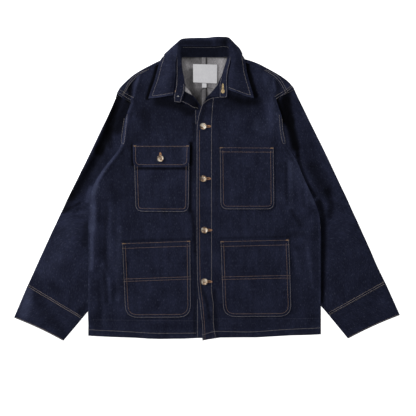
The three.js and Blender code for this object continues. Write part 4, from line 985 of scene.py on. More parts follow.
def sleeve_shell(side):
    sign = SIGN[side]
    rows = smooth_columns(SLEEVE_ROWS[side], GRAIN_STEP)
    table = np.array(SLEEVE_ROWS[side])
    run = np.concatenate([[0], np.cumsum(np.maximum(np.hypot(*(table[1:, :2] - table[:-1, :2]).T), 1))])
    here = np.concatenate([[0], np.cumsum(np.hypot(*(rows[1:, :2] - rows[:-1, :2]).T))])
    here *= run[-1] / here[-1]
    row_number = np.interp(here, run, np.arange(len(table)))
    curl = np.clip((row_number - UNDERARM_ROW + 1) / 2, 0, 1) ** 0.5
    outer, below, above = rows[:, 0:2], rows[:, 2:4], rows[:, 4:6]
    halfway = (below + above) / 2

    def line(target):
        width = np.hypot(*(target - outer).T)
        return width, lambda inward: outer + (target - outer) * (inward / width)[:, None]

    below_width, below_at = line(below)
    above_width, above_at = line(above)
    _, side_at = line(halfway)

    def high_at(inward):
        spot = above_at(inward)
        return sleeve_top(side, spot[:, 0], spot[:, 1]) - CLOTH / 2

    full = np.full(len(rows), float(SLEEVE_EDGE))
    _, _, o_radius, o_centre, o_inset, _ = edge_turn(high_at(full))
    i_low, i_high, _, i_centre, i_inset, i_slant = edge_turn(high_at(above_width - SLEEVE_EDGE))
    columns = []

    def put(spot, z):
        columns.append(np.column_stack([sign * spot[:, 0], spot[:, 1], z * np.ones(len(rows))]))

    put(below_at(below_width - i_low * curl), mix(i_low, i_centre - SEAM / 2, curl))
    put(below_at(below_width - i_inset + i_slant), mix(i_low, i_centre - i_slant, curl))
    for share in np.linspace(0, 1, 14):
        put(below_at(mix(below_width - i_inset, o_inset, share)), i_low)
    for degrees in np.arange(-67.5, 68, 22.5):
        angle = math.radians(degrees)
        put(side_at(o_inset - o_radius * math.cos(angle)), o_centre + o_radius * math.sin(angle))
    for share in np.linspace(0, 1, 48):
        inward = mix(o_inset, above_width - i_inset, share)
        z = i_high if share == 1 else high_at(np.maximum(inward, SLEEVE_EDGE))
        put(above_at(inward), z)
    put(above_at(above_width - i_inset + i_slant), mix(i_high, i_centre + i_slant, curl))
    put(above_at(above_width - i_low * curl), mix(i_high, i_centre + SEAM / 2, curl))
    middle = np.stack(columns, axis=1)
    under, over = wall_around(middle, CLOTH)
    shell = grid_shell(under, over)
    along = np.broadcast_to(here[:, None], middle.shape[:2])
    uv = both_sides_uv(width_so_far(middle), along)
    return shell, uv, over[:, -3, 2].mean() > under[:, -3, 2].mean()


def cuff_corners(side):
    return [np.array(corner, float) for corner in CUFF_CORNERS[side]]


def cuff_spot(side, along, share):
    """A place on a cuff: along it from the seam to the end, across it from the outer to the inner edge."""
    seam_outer, seam_inner, end_outer, end_inner = cuff_corners(side)
    outer, inner = mix(seam_outer, end_outer, along), mix(seam_inner, end_inner, along)
    back = seam_outer - end_outer
    bow = back / np.linalg.norm(back) * CUFF_BOW * math.sin(math.pi * share) * max(along, 0)
    return mix(outer, inner, share) + bow


def cuff_shell(side):
    sign = SIGN[side]
    seam_outer, seam_inner, end_outer, end_inner = cuff_corners(side)
    low, high, radius, centre, inset, _ = edge_turn(OPEN_SLEEVE - CLOTH / 2)
    middle, length = [], np.linalg.norm(end_outer - seam_outer)
    for along in np.linspace(0, 1, CUFF_SECTIONS):
        outer, inner = mix(seam_outer, end_outer, along), mix(seam_inner, end_inner, along)
        width = np.linalg.norm(outer - inner)

        def point(inward, z):
            spot = cuff_spot(side, along, inward / width)
            return (sign * spot[0], spot[1], z)

        def arc(at, start):
            angles = np.radians(start + np.linspace(0, 180, 9))
            return [point(at + radius * math.cos(a), centre + radius * math.sin(a)) for a in angles]

        def flat(start, end, z):
            return [point(mix(start, end, share), z) for share in np.linspace(0, 1, 34)[1:-1]]

        middle.append(arc(inset, 90) + flat(inset, width - inset, low)
                      + arc(width - inset, -90) + flat(width - inset, inset, high))
    middle = np.array(middle)
    under, over = wall_around(middle, CLOTH, closed=True)
    shell = grid_shell(under, over, closed=True)
    along = np.broadcast_to(np.linspace(0, length, CUFF_SECTIONS)[:, None], middle.shape[:2])
    uv = both_sides_uv(width_so_far(middle), along)
    return shell, uv, over[:, -3, 2].mean() > under[:, -3, 2].mean()


for side in ("right", "left"):
    for node, make_shell in ((f"sleeve_{side}", sleeve_shell), (f"cuff_{side}", cuff_shell)):
        shell, uv, over_is_out = make_shell(side)
        add_piece(f"cloth_{node}", shell, uv=uv, replaces=[node], flip_faces=not over_is_out)


# Collar

def spline_through(knots, samples):
    """A smooth curve through the points of each section; knots are rows, points, 3."""
    count = knots.shape[1]
    start = 2 * knots[:, :1] - knots[:, 1:2]
    end = 2 * knots[:, -1:] - knots[:, -2:-1]
    padded = np.concatenate([start, knots, end], axis=1)
    out = []
    for t in np.linspace(0, count - 1, samples):
        k = min(int(t), count - 2)
        u = t - k
        p0, p1, p2, p3 = [padded[:, k + m] for m in range(4)]
        out.append(0.5 * (2 * p1 + (p2 - p0) * u + (2 * p0 - 5 * p1 + 4 * p2 - p3) * u * u
                          + (3 * p1 - p0 - 3 * p2 + p3) * u ** 3))
    return np.stack(out, axis=1)


def section_surface(table, points_per_row, samples):
    rows = smooth_columns(table, GRAIN_STEP)
    return spline_through(rows.reshape(len(rows), points_per_row, 3), samples)


stand_surface = section_surface(STAND_ROWS, 2, 8)
collar_surface = section_surface(COLLAR_ROWS, 4, 26)


def surface_uv(surface):
    runs = np.linalg.norm(np.diff(surface[:, -1], axis=0), axis=1)
    along = np.concatenate([[0], np.cumsum(runs)])[:, None] * np.ones((1, surface.shape[1]))
    return both_sides_uv(along, width_so_far(surface))


def stand_painted_shading(points):
    """The stand's painted shade and highlight, darker where the collar shades it at the back of the neck."""
    x, y = points[:, 0], points[:, 1]
    at_back = smooth(326, 338, y) * (1 - smooth(58, 66, np.abs(x + 6)))
    return painted_shading_at("stand", x, y) * mix(1, STAND_BACK_PAINTED_SHADE, at_back)


stand_shell = grid_shell(*wall_around(stand_surface, CLOTH))
add_piece("cloth_stand", stand_shell, [denim], surface_uv(stand_surface), replaces=["collar_stand"],
          painted_shading_values=stand_painted_shading(stand_shell[0]))
collar_shell = grid_shell(*wall_around(collar_surface, CLOTH))
add_piece("cloth_collar", collar_shell, [denim], surface_uv(collar_surface), replaces=["collar"])


# Patches on the fronts and the label on the back

def above_front(side, lift=0.0):
    """Height of a layer on a front, as a function of real x and y."""
    return lambda x, y: front_top(side, SIGN[side] * x, y) + lift


def patch_height(name, side, lift):
    """Height of a patch's outer surface: thicker along its turned edges, with some slack in the middle."""
    outline = rounded_outline(OUTLINES[name])
    loop = [tuple(p) for p in outline] + [tuple(outline[0])]

    def height(x, y):
        edge = distance_to_path(x, y, loop)
        turned = TURNED["height"] * (1 - smooth(*TURNED["edge"], edge))
        slack = SLACK["height"] * smooth(*SLACK["edge"], edge)
        uneven = ripple(x, y, len(name), *PATCH_WAVES) * smooth(*PATCH_CALM, edge)
        return above_front(side, lift)(x, y) + turned + slack + np.abs(uneven)

    return height


def add_patch(name, side, lift, thickness):
    surfaces[name] = patch_height(name, side, lift + thickness)
    shell = patch_shell(rounded_outline(OUTLINES[name]), above_front(side, lift), surfaces[name])
    add_piece(f"cloth_{name}", shell, [denim], replaces=[name])


surfaces = {}
for side in ("right", "left"):
    for name in ("pocket_chest", "pocket_lower", "facing"):
        add_patch(f"{name}_{side}", side, SEAM, POCKET_CLOTH)
add_patch("pocket_flap", "right", FLAP_LIFT, CLOTH)

# The corner of the right facing that lies wrong side up
corner = rounded_outline([(-56.8, 262, 1), (-57, 247.5, 0.5), (-38.4, 237.6, 0.5), (-43, 246, 1)])
corner_shell = patch_shell(corner, above_front("right", SEAM), above_front("right", SEAM + POCKET_CLOTH))
add_piece("cloth_facing_corner", corner_shell, [denim_inside])

for name in ("neck_label", "size_tab"):
    base = CLOTH + LABEL_LIFT
    shell = patch_shell(rounded_outline(OUTLINES[name]), level(base), level(base + LABEL_CLOTH))
    add_piece(f"cloth_{name}", shell, [label_cloth], replaces=[name], slot="label_cloth")


# Stitching, laid along lines of points with the surface's direction at each

def height_normal(height, x, y, reach=1.5):
    slope_x = (height(x + reach, y) - height(x - reach, y)) / (2 * reach)
    slope_y = (height(x, y + reach) - height(x, y - reach)) / (2 * reach)
    normal = np.stack([-slope_x, -slope_y, np.ones(len(x))], axis=1)
    return normal / np.linalg.norm(normal, axis=1, keepdims=True)


def dense(line, step=2.0):
    """A smooth line with evenly spaced points."""
    line = np.array(line, float)
    run = np.concatenate([[0], np.cumsum(np.linalg.norm(np.diff(line, axis=0), axis=1))])
    samples = np.linspace(0, run[-1], max(2, math.ceil(run[-1] / step) + 1))
    return np.stack([monotone(run, line[:, c], samples) for c in range(line.shape[1])], axis=1)


def inset_loop(corners, inset):
    """The outline moved inward, from its first corner round to its last."""
    outline = rounded_outline(corners, 2.0)
    before, after = np.roll(outline, 1, axis=0), np.roll(outline, -1, axis=0)
    along = after - before
    along /= np.linalg.norm(along, axis=1, keepdims=True)
    inward = np.stack([-along[:, 1], along[:, 0]], axis=1)
    centre = outline.mean(axis=0)
    if ((centre - outline) * inward).sum() < 0:
        inward = -inward
    return outline + inward * inset


class Stitching:
    """Gathers the lines of one kind of stitching on one part of the garment."""

    def __init__(self, name, material, size, turn):
        self.name, self.material, self.size, self.turn = name, material, size, turn
        self.points, self.normals, self.edges = [], [], []

    def add(self, points, normals, lift=THREAD_LIFT):
        points = np.asarray(points, float) + np.asarray(normals) * lift
        first = len(self.points)
        self.points.extend(points)
        self.normals.extend(normals)
        self.edges.extend((first + k, first + k + 1) for k in range(len(points) - 1))

    def on(self, height, line, lift=THREAD_LIFT):
        """A line of x, y on a surface that is a height over x and y."""
        plan = dense(line)
        x, y = plan[:, 0], plan[:, 1]
        self.add(np.column_stack([plan, height(x, y)]), height_normal(height, x, y), lift)


def add_node(tree, kind, inputs=None, **settings):
    """A node with its settings and its inputs, each of them a value or another node's socket."""
    made = tree.nodes.new(kind)
    for key, value in settings.items():
        setattr(made, key, value)
    for key, value in (inputs or {}).items():
        if isinstance(value, bpy.types.NodeSocket):
            tree.links.new(value, made.inputs[key])
        else:
            made.inputs[key].default_value = value
    return made


def stitch_tree():
    """Thread stitches set end to end along lines, or across them, with a slight wander."""
    tree = bpy.data.node_groups.new("stitching", "GeometryNodeTree")
    kinds = {"Lines": "Geometry", "Pitch": "Float", "Length": "Float", "Width": "Float", "Turn": "Float",
             "Wander": "Float", "Seed": "Int", "Thread": "Material"}
    for label, kind in kinds.items():
        tree.interface.new_socket(label, in_out="INPUT", socket_type=f"NodeSocket{kind}")
    tree.interface.new_socket("Stitches", in_out="OUTPUT", socket_type="NodeSocketGeometry")
    given = add_node(tree, "NodeGroupInput").outputs

    curve = add_node(tree, "GeometryNodeMeshToCurve", {"Mesh": given["Lines"]})
    spaced = add_node(tree, "GeometryNodeResampleCurve",
                      {"Curve": curve.outputs[0], "Length": given["Pitch"]}, mode="LENGTH")

    grain = add_node(tree, "GeometryNodeMeshUVSphere", {"Segments": 6, "Rings": 4, "Radius": 0.5})
    size = add_node(tree, "ShaderNodeCombineXYZ", {
        "X": given["Length"], "Y": given["Width"], "Z": given["Width"]})
    stitch = add_node(tree, "GeometryNodeTransform", {
        "Geometry": grain.outputs["Mesh"], "Scale": size.outputs[0]})

    facing = add_node(tree, "GeometryNodeInputNamedAttribute",
                      {"Name": "surface_normal"}, data_type="FLOAT_VECTOR")
    tangent = add_node(tree, "GeometryNodeInputTangent")
    upright = add_node(tree, "FunctionNodeAlignRotationToVector",
                       {"Vector": facing.outputs["Attribute"]}, axis="Z")
    along = add_node(tree, "FunctionNodeAlignRotationToVector",
                     {"Rotation": upright.outputs[0], "Vector": tangent.outputs[0]}, axis="X", pivot_axis="Z")

    negative = add_node(tree, "ShaderNodeMath", {0: given["Wander"], 1: -1}, operation="MULTIPLY")
    chance = add_node(tree, "FunctionNodeRandomValue",
                      {2: negative.outputs[0], 3: given["Wander"], "Seed": given["Seed"]}, data_type="FLOAT")
    angle = add_node(tree, "ShaderNodeMath", {0: chance.outputs[1], 1: given["Turn"]})
    spin = add_node(tree, "ShaderNodeCombineXYZ", {"Z": angle.outputs[0]})
    turned = add_node(tree, "FunctionNodeRotateRotation",
                      {"Rotation": along.outputs[0], "Rotate By": spin.outputs[0]}, rotation_space="LOCAL")

    sewn = add_node(tree, "GeometryNodeInstanceOnPoints", {
        "Points": spaced.outputs[0], "Instance": stitch.outputs[0], "Rotation": turned.outputs[0]})
    real = add_node(tree, "GeometryNodeRealizeInstances", {0: sewn.outputs[0]})
    soft = add_node(tree, "GeometryNodeSetShadeSmooth", {0: real.outputs[0]})
    finish = add_node(tree, "GeometryNodeSetMaterial", {
        "Geometry": soft.outputs[0], "Material": given["Thread"]})
    add_node(tree, "NodeGroupOutput", {0: finish.outputs[0]})
    return tree


def sew(stitching, tree, seed):
    """The stitches of one group as a plain mesh."""
    mesh = bpy.data.meshes.new(stitching.name)
    mesh.from_pydata(placed(stitching.points).tolist(), stitching.edges, [])
    normal = mesh.attributes.new("surface_normal", "FLOAT_VECTOR", "POINT")
    normal.data.foreach_set("vector", np.array(stitching.normals, np.float32).ravel())
    made = bpy.data.objects.new(stitching.name, mesh)
    bpy.context.scene.collection.objects.link(made)
    modifier = made.modifiers.new("stitching", "NODES")
    modifier.node_group = tree
    values = {
        "Pitch": stitching.size["pitch"] * MM, "Length": stitching.size["length"] * MM,
        "Width": stitching.size["width"] * MM, "Turn": stitching.turn,
        "Wander": STITCH_WANDER, "Seed": seed, "Thread": stitching.material,
    }
    for item in tree.interface.items_tree:
        if item.name in values:
            modifier[item.identifier] = values[item.name]
    bpy.context.view_layer.update()
    graph = bpy.context.evaluated_depsgraph_get()
    baked = bpy.data.meshes.new_from_object(made.evaluated_get(graph))
    made.modifiers.clear()
    made.data = baked
    if "surface_normal" in baked.attributes:
        baked.attributes.remove(baked.attributes["surface_normal"])
    pieces[stitching.name] = (made, [], "thread")


all_stitching = []


def stitching(name, colour, size=STITCH, turn=0.0):
    made = Stitching(name, thread[colour], size, turn)
    all_stitching.append(made)
    return made


CROSSWISE = math.pi / 2
gold = stitching("bartacks", "gold", SATIN, CROSSWISE)
holes = stitching("buttonholes", "hole", HOLE_STITCH, CROSSWISE)
keyhole = stitching("stand_buttonhole", "khaki", KEYHOLE_STITCH, CROSSWISE)
knots = stitching("button_thread", "pale", KNOT)

for side in ("right", "left"):
    front = above_front(side)
    for kind, colour, seams in (("front", "grey", FRONT_SEAMS), ("hem_facing", "navy", FAINT_SEAMS),
                                ("second", "brown", SECOND_SEAMS)):
        sewing = stitching(f"stitches_{kind}_{side}", colour)
        for line in seams[side]:
            sewing.on(front, line)

# Pockets: double rows round the sides and bottom, rows below the top edge, tacks at the top corners
POCKET_EDGE = 2.2
POCKET_SECOND = 8.8
POCKET_TOP = 2.4
ROW_INSET = 2
TACK = (1.5, 9.5)
POCKET_ROWS = {
    "pocket_chest_left": [12.8],
    "pocket_lower_right": [14.5, 92.5, 98.5],
    "pocket_lower_left": [14.5, 92.0, 98.5],
}


def corner_line(corners, drop, inset):
    """A straight line below a pocket's top edge."""
    (left_x, left_y, _), (right_x, right_y, _) = corners[:2]
    fall = drop / abs(corners[3][1] - left_y)
    low_left = mix(left_x, corners[3][0], fall)
    low_right = mix(right_x, corners[2][0], fall)
    return [(low_left + inset, left_y - drop), (low_right - inset, right_y - drop)]


def pocket_sides(corners, inset, start=0.8):
    """Down one side, round the bottom and up the other."""
    loop = inset_loop(corners, inset)
    (left_x, left_y, _), (right_x, right_y, _) = corners[:2]
    top = mix(left_y, right_y, (loop[:, 0] - left_x) / (right_x - left_x))
    keep = loop[:, 1] < top - inset - start
    first = int(np.argmax(keep & ~np.roll(keep, 1)))
    ordered = np.roll(loop, -first, axis=0)
    return ordered[:int(keep.sum())]


for name in ("pocket_chest_right", "pocket_chest_left", "pocket_lower_right", "pocket_lower_left"):
    corners, surface = OUTLINES[name], surfaces[name]
    sewing = stitching(f"stitches_{name}", "brown")
    stitching(f"stitches_edge_{name}", "grey").on(surface, pocket_sides(corners, POCKET_EDGE))
    sewing.on(surface, pocket_sides(corners, POCKET_SECOND))
    if name != "pocket_chest_right":
        sewing.on(surface, corner_line(corners, POCKET_TOP, ROW_INSET))
        for (x, y, _), inward in zip(corners, (1, -1)):
            gold.on(surface, [(x + inward * place, y - POCKET_TOP) for place in TACK])
    for drop in POCKET_ROWS.get(name, []):
        sewing.on(surface, corner_line(corners, drop, ROW_INSET))

flap, surface = OUTLINES["pocket_flap"], surfaces["pocket_flap"]
stitching("stitches_pocket_flap", "brown").on(surface, pocket_sides(flap, 6.6, -2))
stitching("stitches_flap_top", "faint").on(surface, corner_line(flap, 5.0, ROW_INSET))
for x, inward in ((-186, 1), (-47, -1)):
    gold.on(surface, [(x, 108), (x + inward * 6, 108)])


# Buttonholes: a thin oval of dense stitches

def hole_loop(x, y, length, width, upright=False):
    turn = np.linspace(0, 2 * math.pi, 41)
    away = np.sign(np.cos(turn)) * np.abs(np.cos(turn)) ** 0.6 * length / 2
    side_way = np.sin(turn) * width / 2
    if upright:
        return list(zip(x + side_way, y + away))
    return list(zip(x + away, y + side_way))


FRONT_BUTTONS = [(-10, 158), (-10, 25), (-7, -106), (-7, -237)]
FLAP_BUTTON = (-119, 76)
STAND_BUTTON = (-74.5, 228.5, 7.2)
# the slits are near-black stitches painting the shade in each buttonhole's cut
slits = stitching("buttonhole_slits", "slit", SLIT)
for x, y in FRONT_BUTTONS:
    holes.on(above_front("left"), hole_loop(x + 7.2, y, 24, 3.9))
    slits.on(above_front("left"), [(x + 7, y), (x + 15.5, y)], SLIT_LIFT)
holes.on(surfaces["pocket_flap"], hole_loop(FLAP_BUTTON[0], FLAP_BUTTON[1] + 5, 20, 3.6, True))

# Turned-out facing: a row along the edge
sewing = stitching("stitches_facings", "grey")
sewing.on(surfaces["facing_right"], [(-63.5, 221.5), (-47, 214), (-32, 205.5), (-24.5, 204.5)])

# Sleeves and cuffs: two rows above the cuff's seam and one along its end
CUFF_ROWS = {"right": (-5.6, -0.8), "left": (-8.4, -3.2)}
CUFF_END_ROW = 2.4
CUFF_SPAN = (0.035, 0.965)
for side in ("right", "left"):
    sign = SIGN[side]
    seam_outer, _, end_outer, _ = cuff_corners(side)
    cuff_length = np.linalg.norm(end_outer - seam_outer)
    sewing = stitching(f"stitches_cuff_{side}", "tan")

    def cuff_line(from_seam):
        spots = [cuff_spot(side, from_seam / cuff_length, share) for share in np.linspace(*CUFF_SPAN, 9)]
        return [(sign * x, y) for x, y in spots]

    for from_seam in CUFF_ROWS[side]:
        sewing.on(lambda x, y: sleeve_top(side, sign * x, y), cuff_line(from_seam))
    sewing.on(level(OPEN_SLEEVE), cuff_line(cuff_length - CUFF_END_ROW))

# Shoulders: two rows along the seam, and two across the armhole seam
SHOULDER_ROWS = {
    "right": [[(-160, 300.2), (-182, 288), (-197, 273.5), (-207.5, 255), (-216, 238)],
              [(-150, 303), (-168, 293.5), (-186, 279), (-200, 261), (-208, 247), (-212, 240)]],
    "left": [[(148, 300.5), (170, 286.5), (184, 272.5), (193.5, 256.5), (200, 243.5)],
             [(152, 301), (175, 289.5), (190, 273), (199, 257), (206, 245)]],
}
ARMHOLE_ROWS = {
    "right": [[(-222.5, 251.5), (-205, 240.5), (-188, 231)], [(-225, 243.5), (-210, 234.5), (-195.5, 226)]],
    "left": [[(213.5, 260.5), (193, 246), (173, 234)], [(215.5, 257), (196, 241.5), (176.5, 229)]],
}


def shoulder_top(side):
    return lambda x, y: np.maximum(above_front(side)(x, y), ROLL_TOP)


for side in ("right", "left"):
    sewing = stitching(f"stitches_shoulder_{side}", "grey")
    for line in SHOULDER_ROWS[side]:
        sewing.on(level(ROLL_TOP), line)
    for line in ARMHOLE_ROWS[side]:
        sewing.on(shoulder_top(side), line)


# Collar and stand: rows along their edges

def along_surface(surface, path, lift):
    """Points and directions on the outer side of a surface, from places in its grid."""
    rows, columns = surface.shape[:2]
    across_grid = np.gradient(surface, axis=1)
    along_grid = np.gradient(surface, axis=0)
    normal = np.cross(across_grid, along_grid)
    normal /= np.maximum(np.linalg.norm(normal, axis=2, keepdims=True), 1e-9)
    if normal[rows // 6, columns * 3 // 4, 2] < 0:
        normal = -normal
    u = np.clip([p[0] for p in path], 0, rows - 1.001)
    v = np.clip([p[1] for p in path], 0, columns - 1.001)
    i, j = u.astype(int), v.astype(int)
    fu, fv = (u - i)[:, None], (v - j)[:, None]

    def sample(grid):
        return mix(mix(grid[i, j], grid[i + 1, j], fu), mix(grid[i, j + 1], grid[i + 1, j + 1], fu), fv)

    directions = sample(normal)
    directions /= np.linalg.norm(directions, axis=1, keepdims=True)
    return sample(surface) + directions * lift, directions


def edge_path(surface, from_edge, from_ends):
    """In at one end, along the free edge and out at the other."""
    rows, columns = surface.shape[:2]
    widths = np.linalg.norm(np.diff(surface, axis=1), axis=2)
    from_free = np.cumsum(widths[:, ::-1], axis=1)
    places = np.arange(columns)
    free = [columns - 1 - np.interp(from_edge, np.concatenate([[0], row]), places) for row in from_free]
    start = from_ends / np.linalg.norm(surface[1, -1] - surface[0, -1])
    across_end = np.linspace(1.5, free[int(start)], 12)
    path = [(start, v) for v in across_end]
    path += [(u, free[int(u)]) for u in np.arange(start + 0.5, rows - 1 - start, 0.5)]
    path += [(rows - 1 - start, v) for v in across_end[::-1]]
    return path


sewing = stitching("stitches_collar", "grey")
points, directions = along_surface(collar_surface, edge_path(collar_surface, 8.5, 6.5), CLOTH / 2)
sewing.add(points, directions)

# The stand's row in its grid: from the middle of the back, down each end and back along the neckline
STAND_TOP, STAND_FOOT = 6.2, 0.8
STAND_FOOT_SHARE = 0.28
BACK_OF_NECK = 350          # y from where the row lies in the collar's shade and is drawn in the darker thread as painted shade
PAINTED_SHADE_SPAN = (-62, 54)
painted_shade_row = stitching("stitches_stand_back", "dim")
sewing = stitching("stitches_stand", "grey")
rows = len(stand_surface)
far = rows // 2
for near in (0.4, rows - 1.4):
    path = [(u, STAND_TOP) for u in np.linspace(far, near, 60)]
    path += [(near, v) for v in np.linspace(5.8, 1.2, 6)]
    path += [(u, STAND_FOOT) for u in np.linspace(near, near + (far - near) * STAND_FOOT_SHARE, 30)]
    points, directions = along_surface(stand_surface, path, CLOTH / 2)
    if directions[:, 2].mean() < 0:
        points, directions = points - 2 * directions * CLOTH / 2, -directions
    at_back = points[:, 1] > BACK_OF_NECK
    sewing.add(points[~at_back], directions[~at_back])
    dim = at_back & (points[:, 0] > PAINTED_SHADE_SPAN[0]) & (points[:, 0] < PAINTED_SHADE_SPAN[1])
    painted_shade_row.add(points[dim], directions[dim])


def stand_height(x, y):
    """Height of the stand's outer side, from the nearest places of its surface."""
    spots = stand_surface[:, 1:-1].reshape(-1, 3)
    away = np.hypot(np.ravel(x)[:, None] - spots[:, 0], np.ravel(y)[:, None] - spots[:, 1])
    near = np.argsort(away, axis=1)[:, :4]
    weight = 1 / (np.take_along_axis(away, near, axis=1) + 0.2) ** 2
    height = (spots[near, 2] * weight).sum(axis=1) / weight.sum(axis=1)
    return height.reshape(np.shape(x)) + CLOTH / 2


keyhole.on(stand_height, hole_loop(40, 254.5, 23, 2.6, True))
slits.on(stand_height, [(40.6, 254), (40.2, 245.5)], SLIT_LIFT)
keyhole.on(stand_height, hole_loop(40, 247, 8, 6.6, True))
for y in (233.4, 234.8):
    knots.on(stand_height, [(-74.6, y), (-72.6, y)], 1.1)
gold.on(stand_height, [(-80.5, 249.5), (-80.5, 245.5)])

# Inside of the back: a felled seam in the middle, with a short row across it below the tab
fell = rounded_outline([(FELL["left"], FELL["top"], 1), (FELL["right"], FELL["top"], 1),
                        (FELL["right"], FELL["bottom"], 1), (FELL["left"], FELL["bottom"], 1)])
fell_top = level(CLOTH + FELL["height"])
add_piece("cloth_centre_back_fell", patch_shell(fell, level(CLOTH + 0.1), fell_top), [denim_inside])
# the rows are drawn in near-black thread, which also paints the shade along the fell's edge
sewing = stitching("stitches_centre_back", "slit", BACK_STITCH)
for line in ([(-2.2, 336), (-2.2, 60)],
             [(-16, 247.5), (-12.5, 253), (-8, 255.6), (-2, 256.6), (5, 256.2), (13, 255)]):
    sewing.on(fell_top, line, 0.35)

tree = stitch_tree()
for seed, group in enumerate(all_stitching):
    if group.points:
        sew(group, tree, seed)


# Buttons: a dished disc with a rounded rim and four holes

def hole_distances(x, y, turn):
    """How far places on a button lie from each of its holes."""
    for quarter in range(4):
        hole = turn + math.pi / 4 + quarter * math.pi / 2
        yield np.hypot(x - HOLE_PLACE * math.cos(hole), y - HOLE_PLACE * math.sin(hole))


def closed_disc(x, y, z, turn):
    """The button as one closed mesh, rings of the top and then of the underside, with its painted shade."""
    spokes = BUTTON_SPOKES
    radius = np.linspace(0, 1, BUTTON_RINGS)[1:] ** 0.85 * BUTTON_RADIUS
    angle = np.linspace(0, 2 * math.pi, spokes, endpoint=False)
    top = monotone(*np.array(BUTTON_PROFILE, float).T, radius)
    px = radius[:, None] * np.cos(angle)
    py = radius[:, None] * np.sin(angle)
    height = np.repeat(top[:, None], spokes, axis=1)
    for away in hole_distances(px, py, turn):
        height -= HOLE_DEPTH * (1 - smooth(*HOLE_EDGE, away))
    points = [(x, y, z + BUTTON_PROFILE[0][1])]
    points += [tuple(p) for p in np.stack([px + x, py + y, height + z], axis=2).reshape(-1, 3)]
    for r, h in BUTTON_UNDERSIDE:
        points += [(x + r * math.cos(a), y + r * math.sin(a), z + h) for a in angle]
    points.append((x, y, z))
    count = len(radius) + len(BUTTON_UNDERSIDE)
    faces = [(0, 1 + k, 1 + (k + 1) % spokes) for k in range(spokes)]
    for ring in range(count - 1):
        low, high = 1 + ring * spokes, 1 + (ring + 1) * spokes
        faces += [(low + k, high + k, high + (k + 1) % spokes, low + (k + 1) % spokes) for k in range(spokes)]
    last = 1 + (count - 1) * spokes
    bottom = len(points) - 1
    faces += [(last + k, bottom, last + (k + 1) % spokes) for k in range(spokes)]
    if volume_of(points, faces) < 0:
        faces = [f[::-1] for f in faces]
    points = np.array(points)
    return (points, faces, np.zeros(len(faces), int)), button_painted_shade(points[:, 0] - x, points[:, 1] - y, turn)


def button_painted_shade(x, y, turn):
    """Painted shade: darker toward one side of the rim and in the holes."""
    shade = mix(0.3, 1, smooth(6.0, 7.6, 14.4 - np.hypot(x - 1.6, y + 0.5)))
    for away in hole_distances(x, y, turn):
        shade *= mix(0.12, 1, smooth(0.7, 1.3, away))
    return shade


def cloth_top(height, x, y):
    around = np.linspace(0, 2 * math.pi, 9)
    return float(np.max(height(x + 6 * np.cos(around), y + 6 * np.sin(around))))


button_spots = [(f"front_{i + 1}", x, y, cloth_top(above_front("left"), x, y) + BUTTON_GAP)
                for i, (x, y) in enumerate(FRONT_BUTTONS)]
button_spots.append(("flap", *FLAP_BUTTON, cloth_top(surfaces["pocket_flap"], *FLAP_BUTTON) + BUTTON_GAP))
button_spots.append(("stand", *STAND_BUTTON))
for number, (label, x, y, z) in enumerate(button_spots):
    # each button gets its painted shade as a colour factor
    disc, shade = closed_disc(x, y, z, 0.35 + 0.5 * number)
    add_piece(f"horn_button_{label}", disc, [horn], replaces=[f"button_{label}"], slot="button", painted_shading_values=shade)


# Finishes

def grey(value):
    return (value, value, value, 1)


class Finish:
    """Builds the nodes of one material round its shader."""

    def __init__(self, material, **values):
        self.tree = material.node_tree
        self.tree.nodes.clear()
        self.shader = self.node("ShaderNodeBsdfPrincipled")
        self.node("ShaderNodeOutputMaterial", {0: self.shader.outputs[0]})
        self.place = self.node("ShaderNodeTexCoord").outputs["Object"]
        self.cloth = self.node("ShaderNodeUVMap", uv_map="cloth").outputs[0]
        for name, value in values.items():
            self.shader.inputs[name.replace("_", " ")].default_value = value

    def node(self, kind, inputs=None, **settings):
        return add_node(self.tree, kind, inputs, **settings)

    def stretched(self, scale, turn=0.0):
        return self.node("ShaderNodeMapping", {
            "Scale": scale, "Rotation": (0, 0, turn), "Vector": self.cloth}).outputs[0]

    def noise(self, vector, scale, detail, roughness):
        return self.node("ShaderNodeTexNoise", {
            "Scale": scale, "Detail": detail, "Roughness": roughness, "Vector": vector}).outputs[0]

    def ramp(self, factor, stops):
        made = self.node("ShaderNodeValToRGB", {0: factor})
        elements = made.color_ramp.elements
        while len(elements) < len(stops):
            elements.new(0.5)
        for element, (place, colour) in zip(elements, stops):
            element.position = place
            element.color = colour
        return made.outputs[0]

    def blend(self, factor, first, second, how="MIX"):
        made = self.node("ShaderNodeMix", {"Factor": factor, "A": first, "B": second},
                         data_type="RGBA", blend_type=how)
        return made.outputs["Result"]

    def times(self, first, second):
        return self.blend(1.0, first, second, "MULTIPLY")

    def math(self, operation, first, second):
        return self.node("ShaderNodeMath", {0: first, 1: second}, operation=operation).outputs[0]

    def dye(self, output):
        return self.node("ShaderNodeAttribute", attribute_name="dye").outputs[output]

    def colour(self, source):
        self.tree.links.new(source, self.shader.inputs["Base Color"])


TWILL_SCALE = 0.314 / 0.0013
TWILL_TURN = math.radians(63)
PAINTED_HIGHLIGHT_PALENESS = 0.3          # how much of the slubs' colour shows where a painted highlight makes the cloth paler
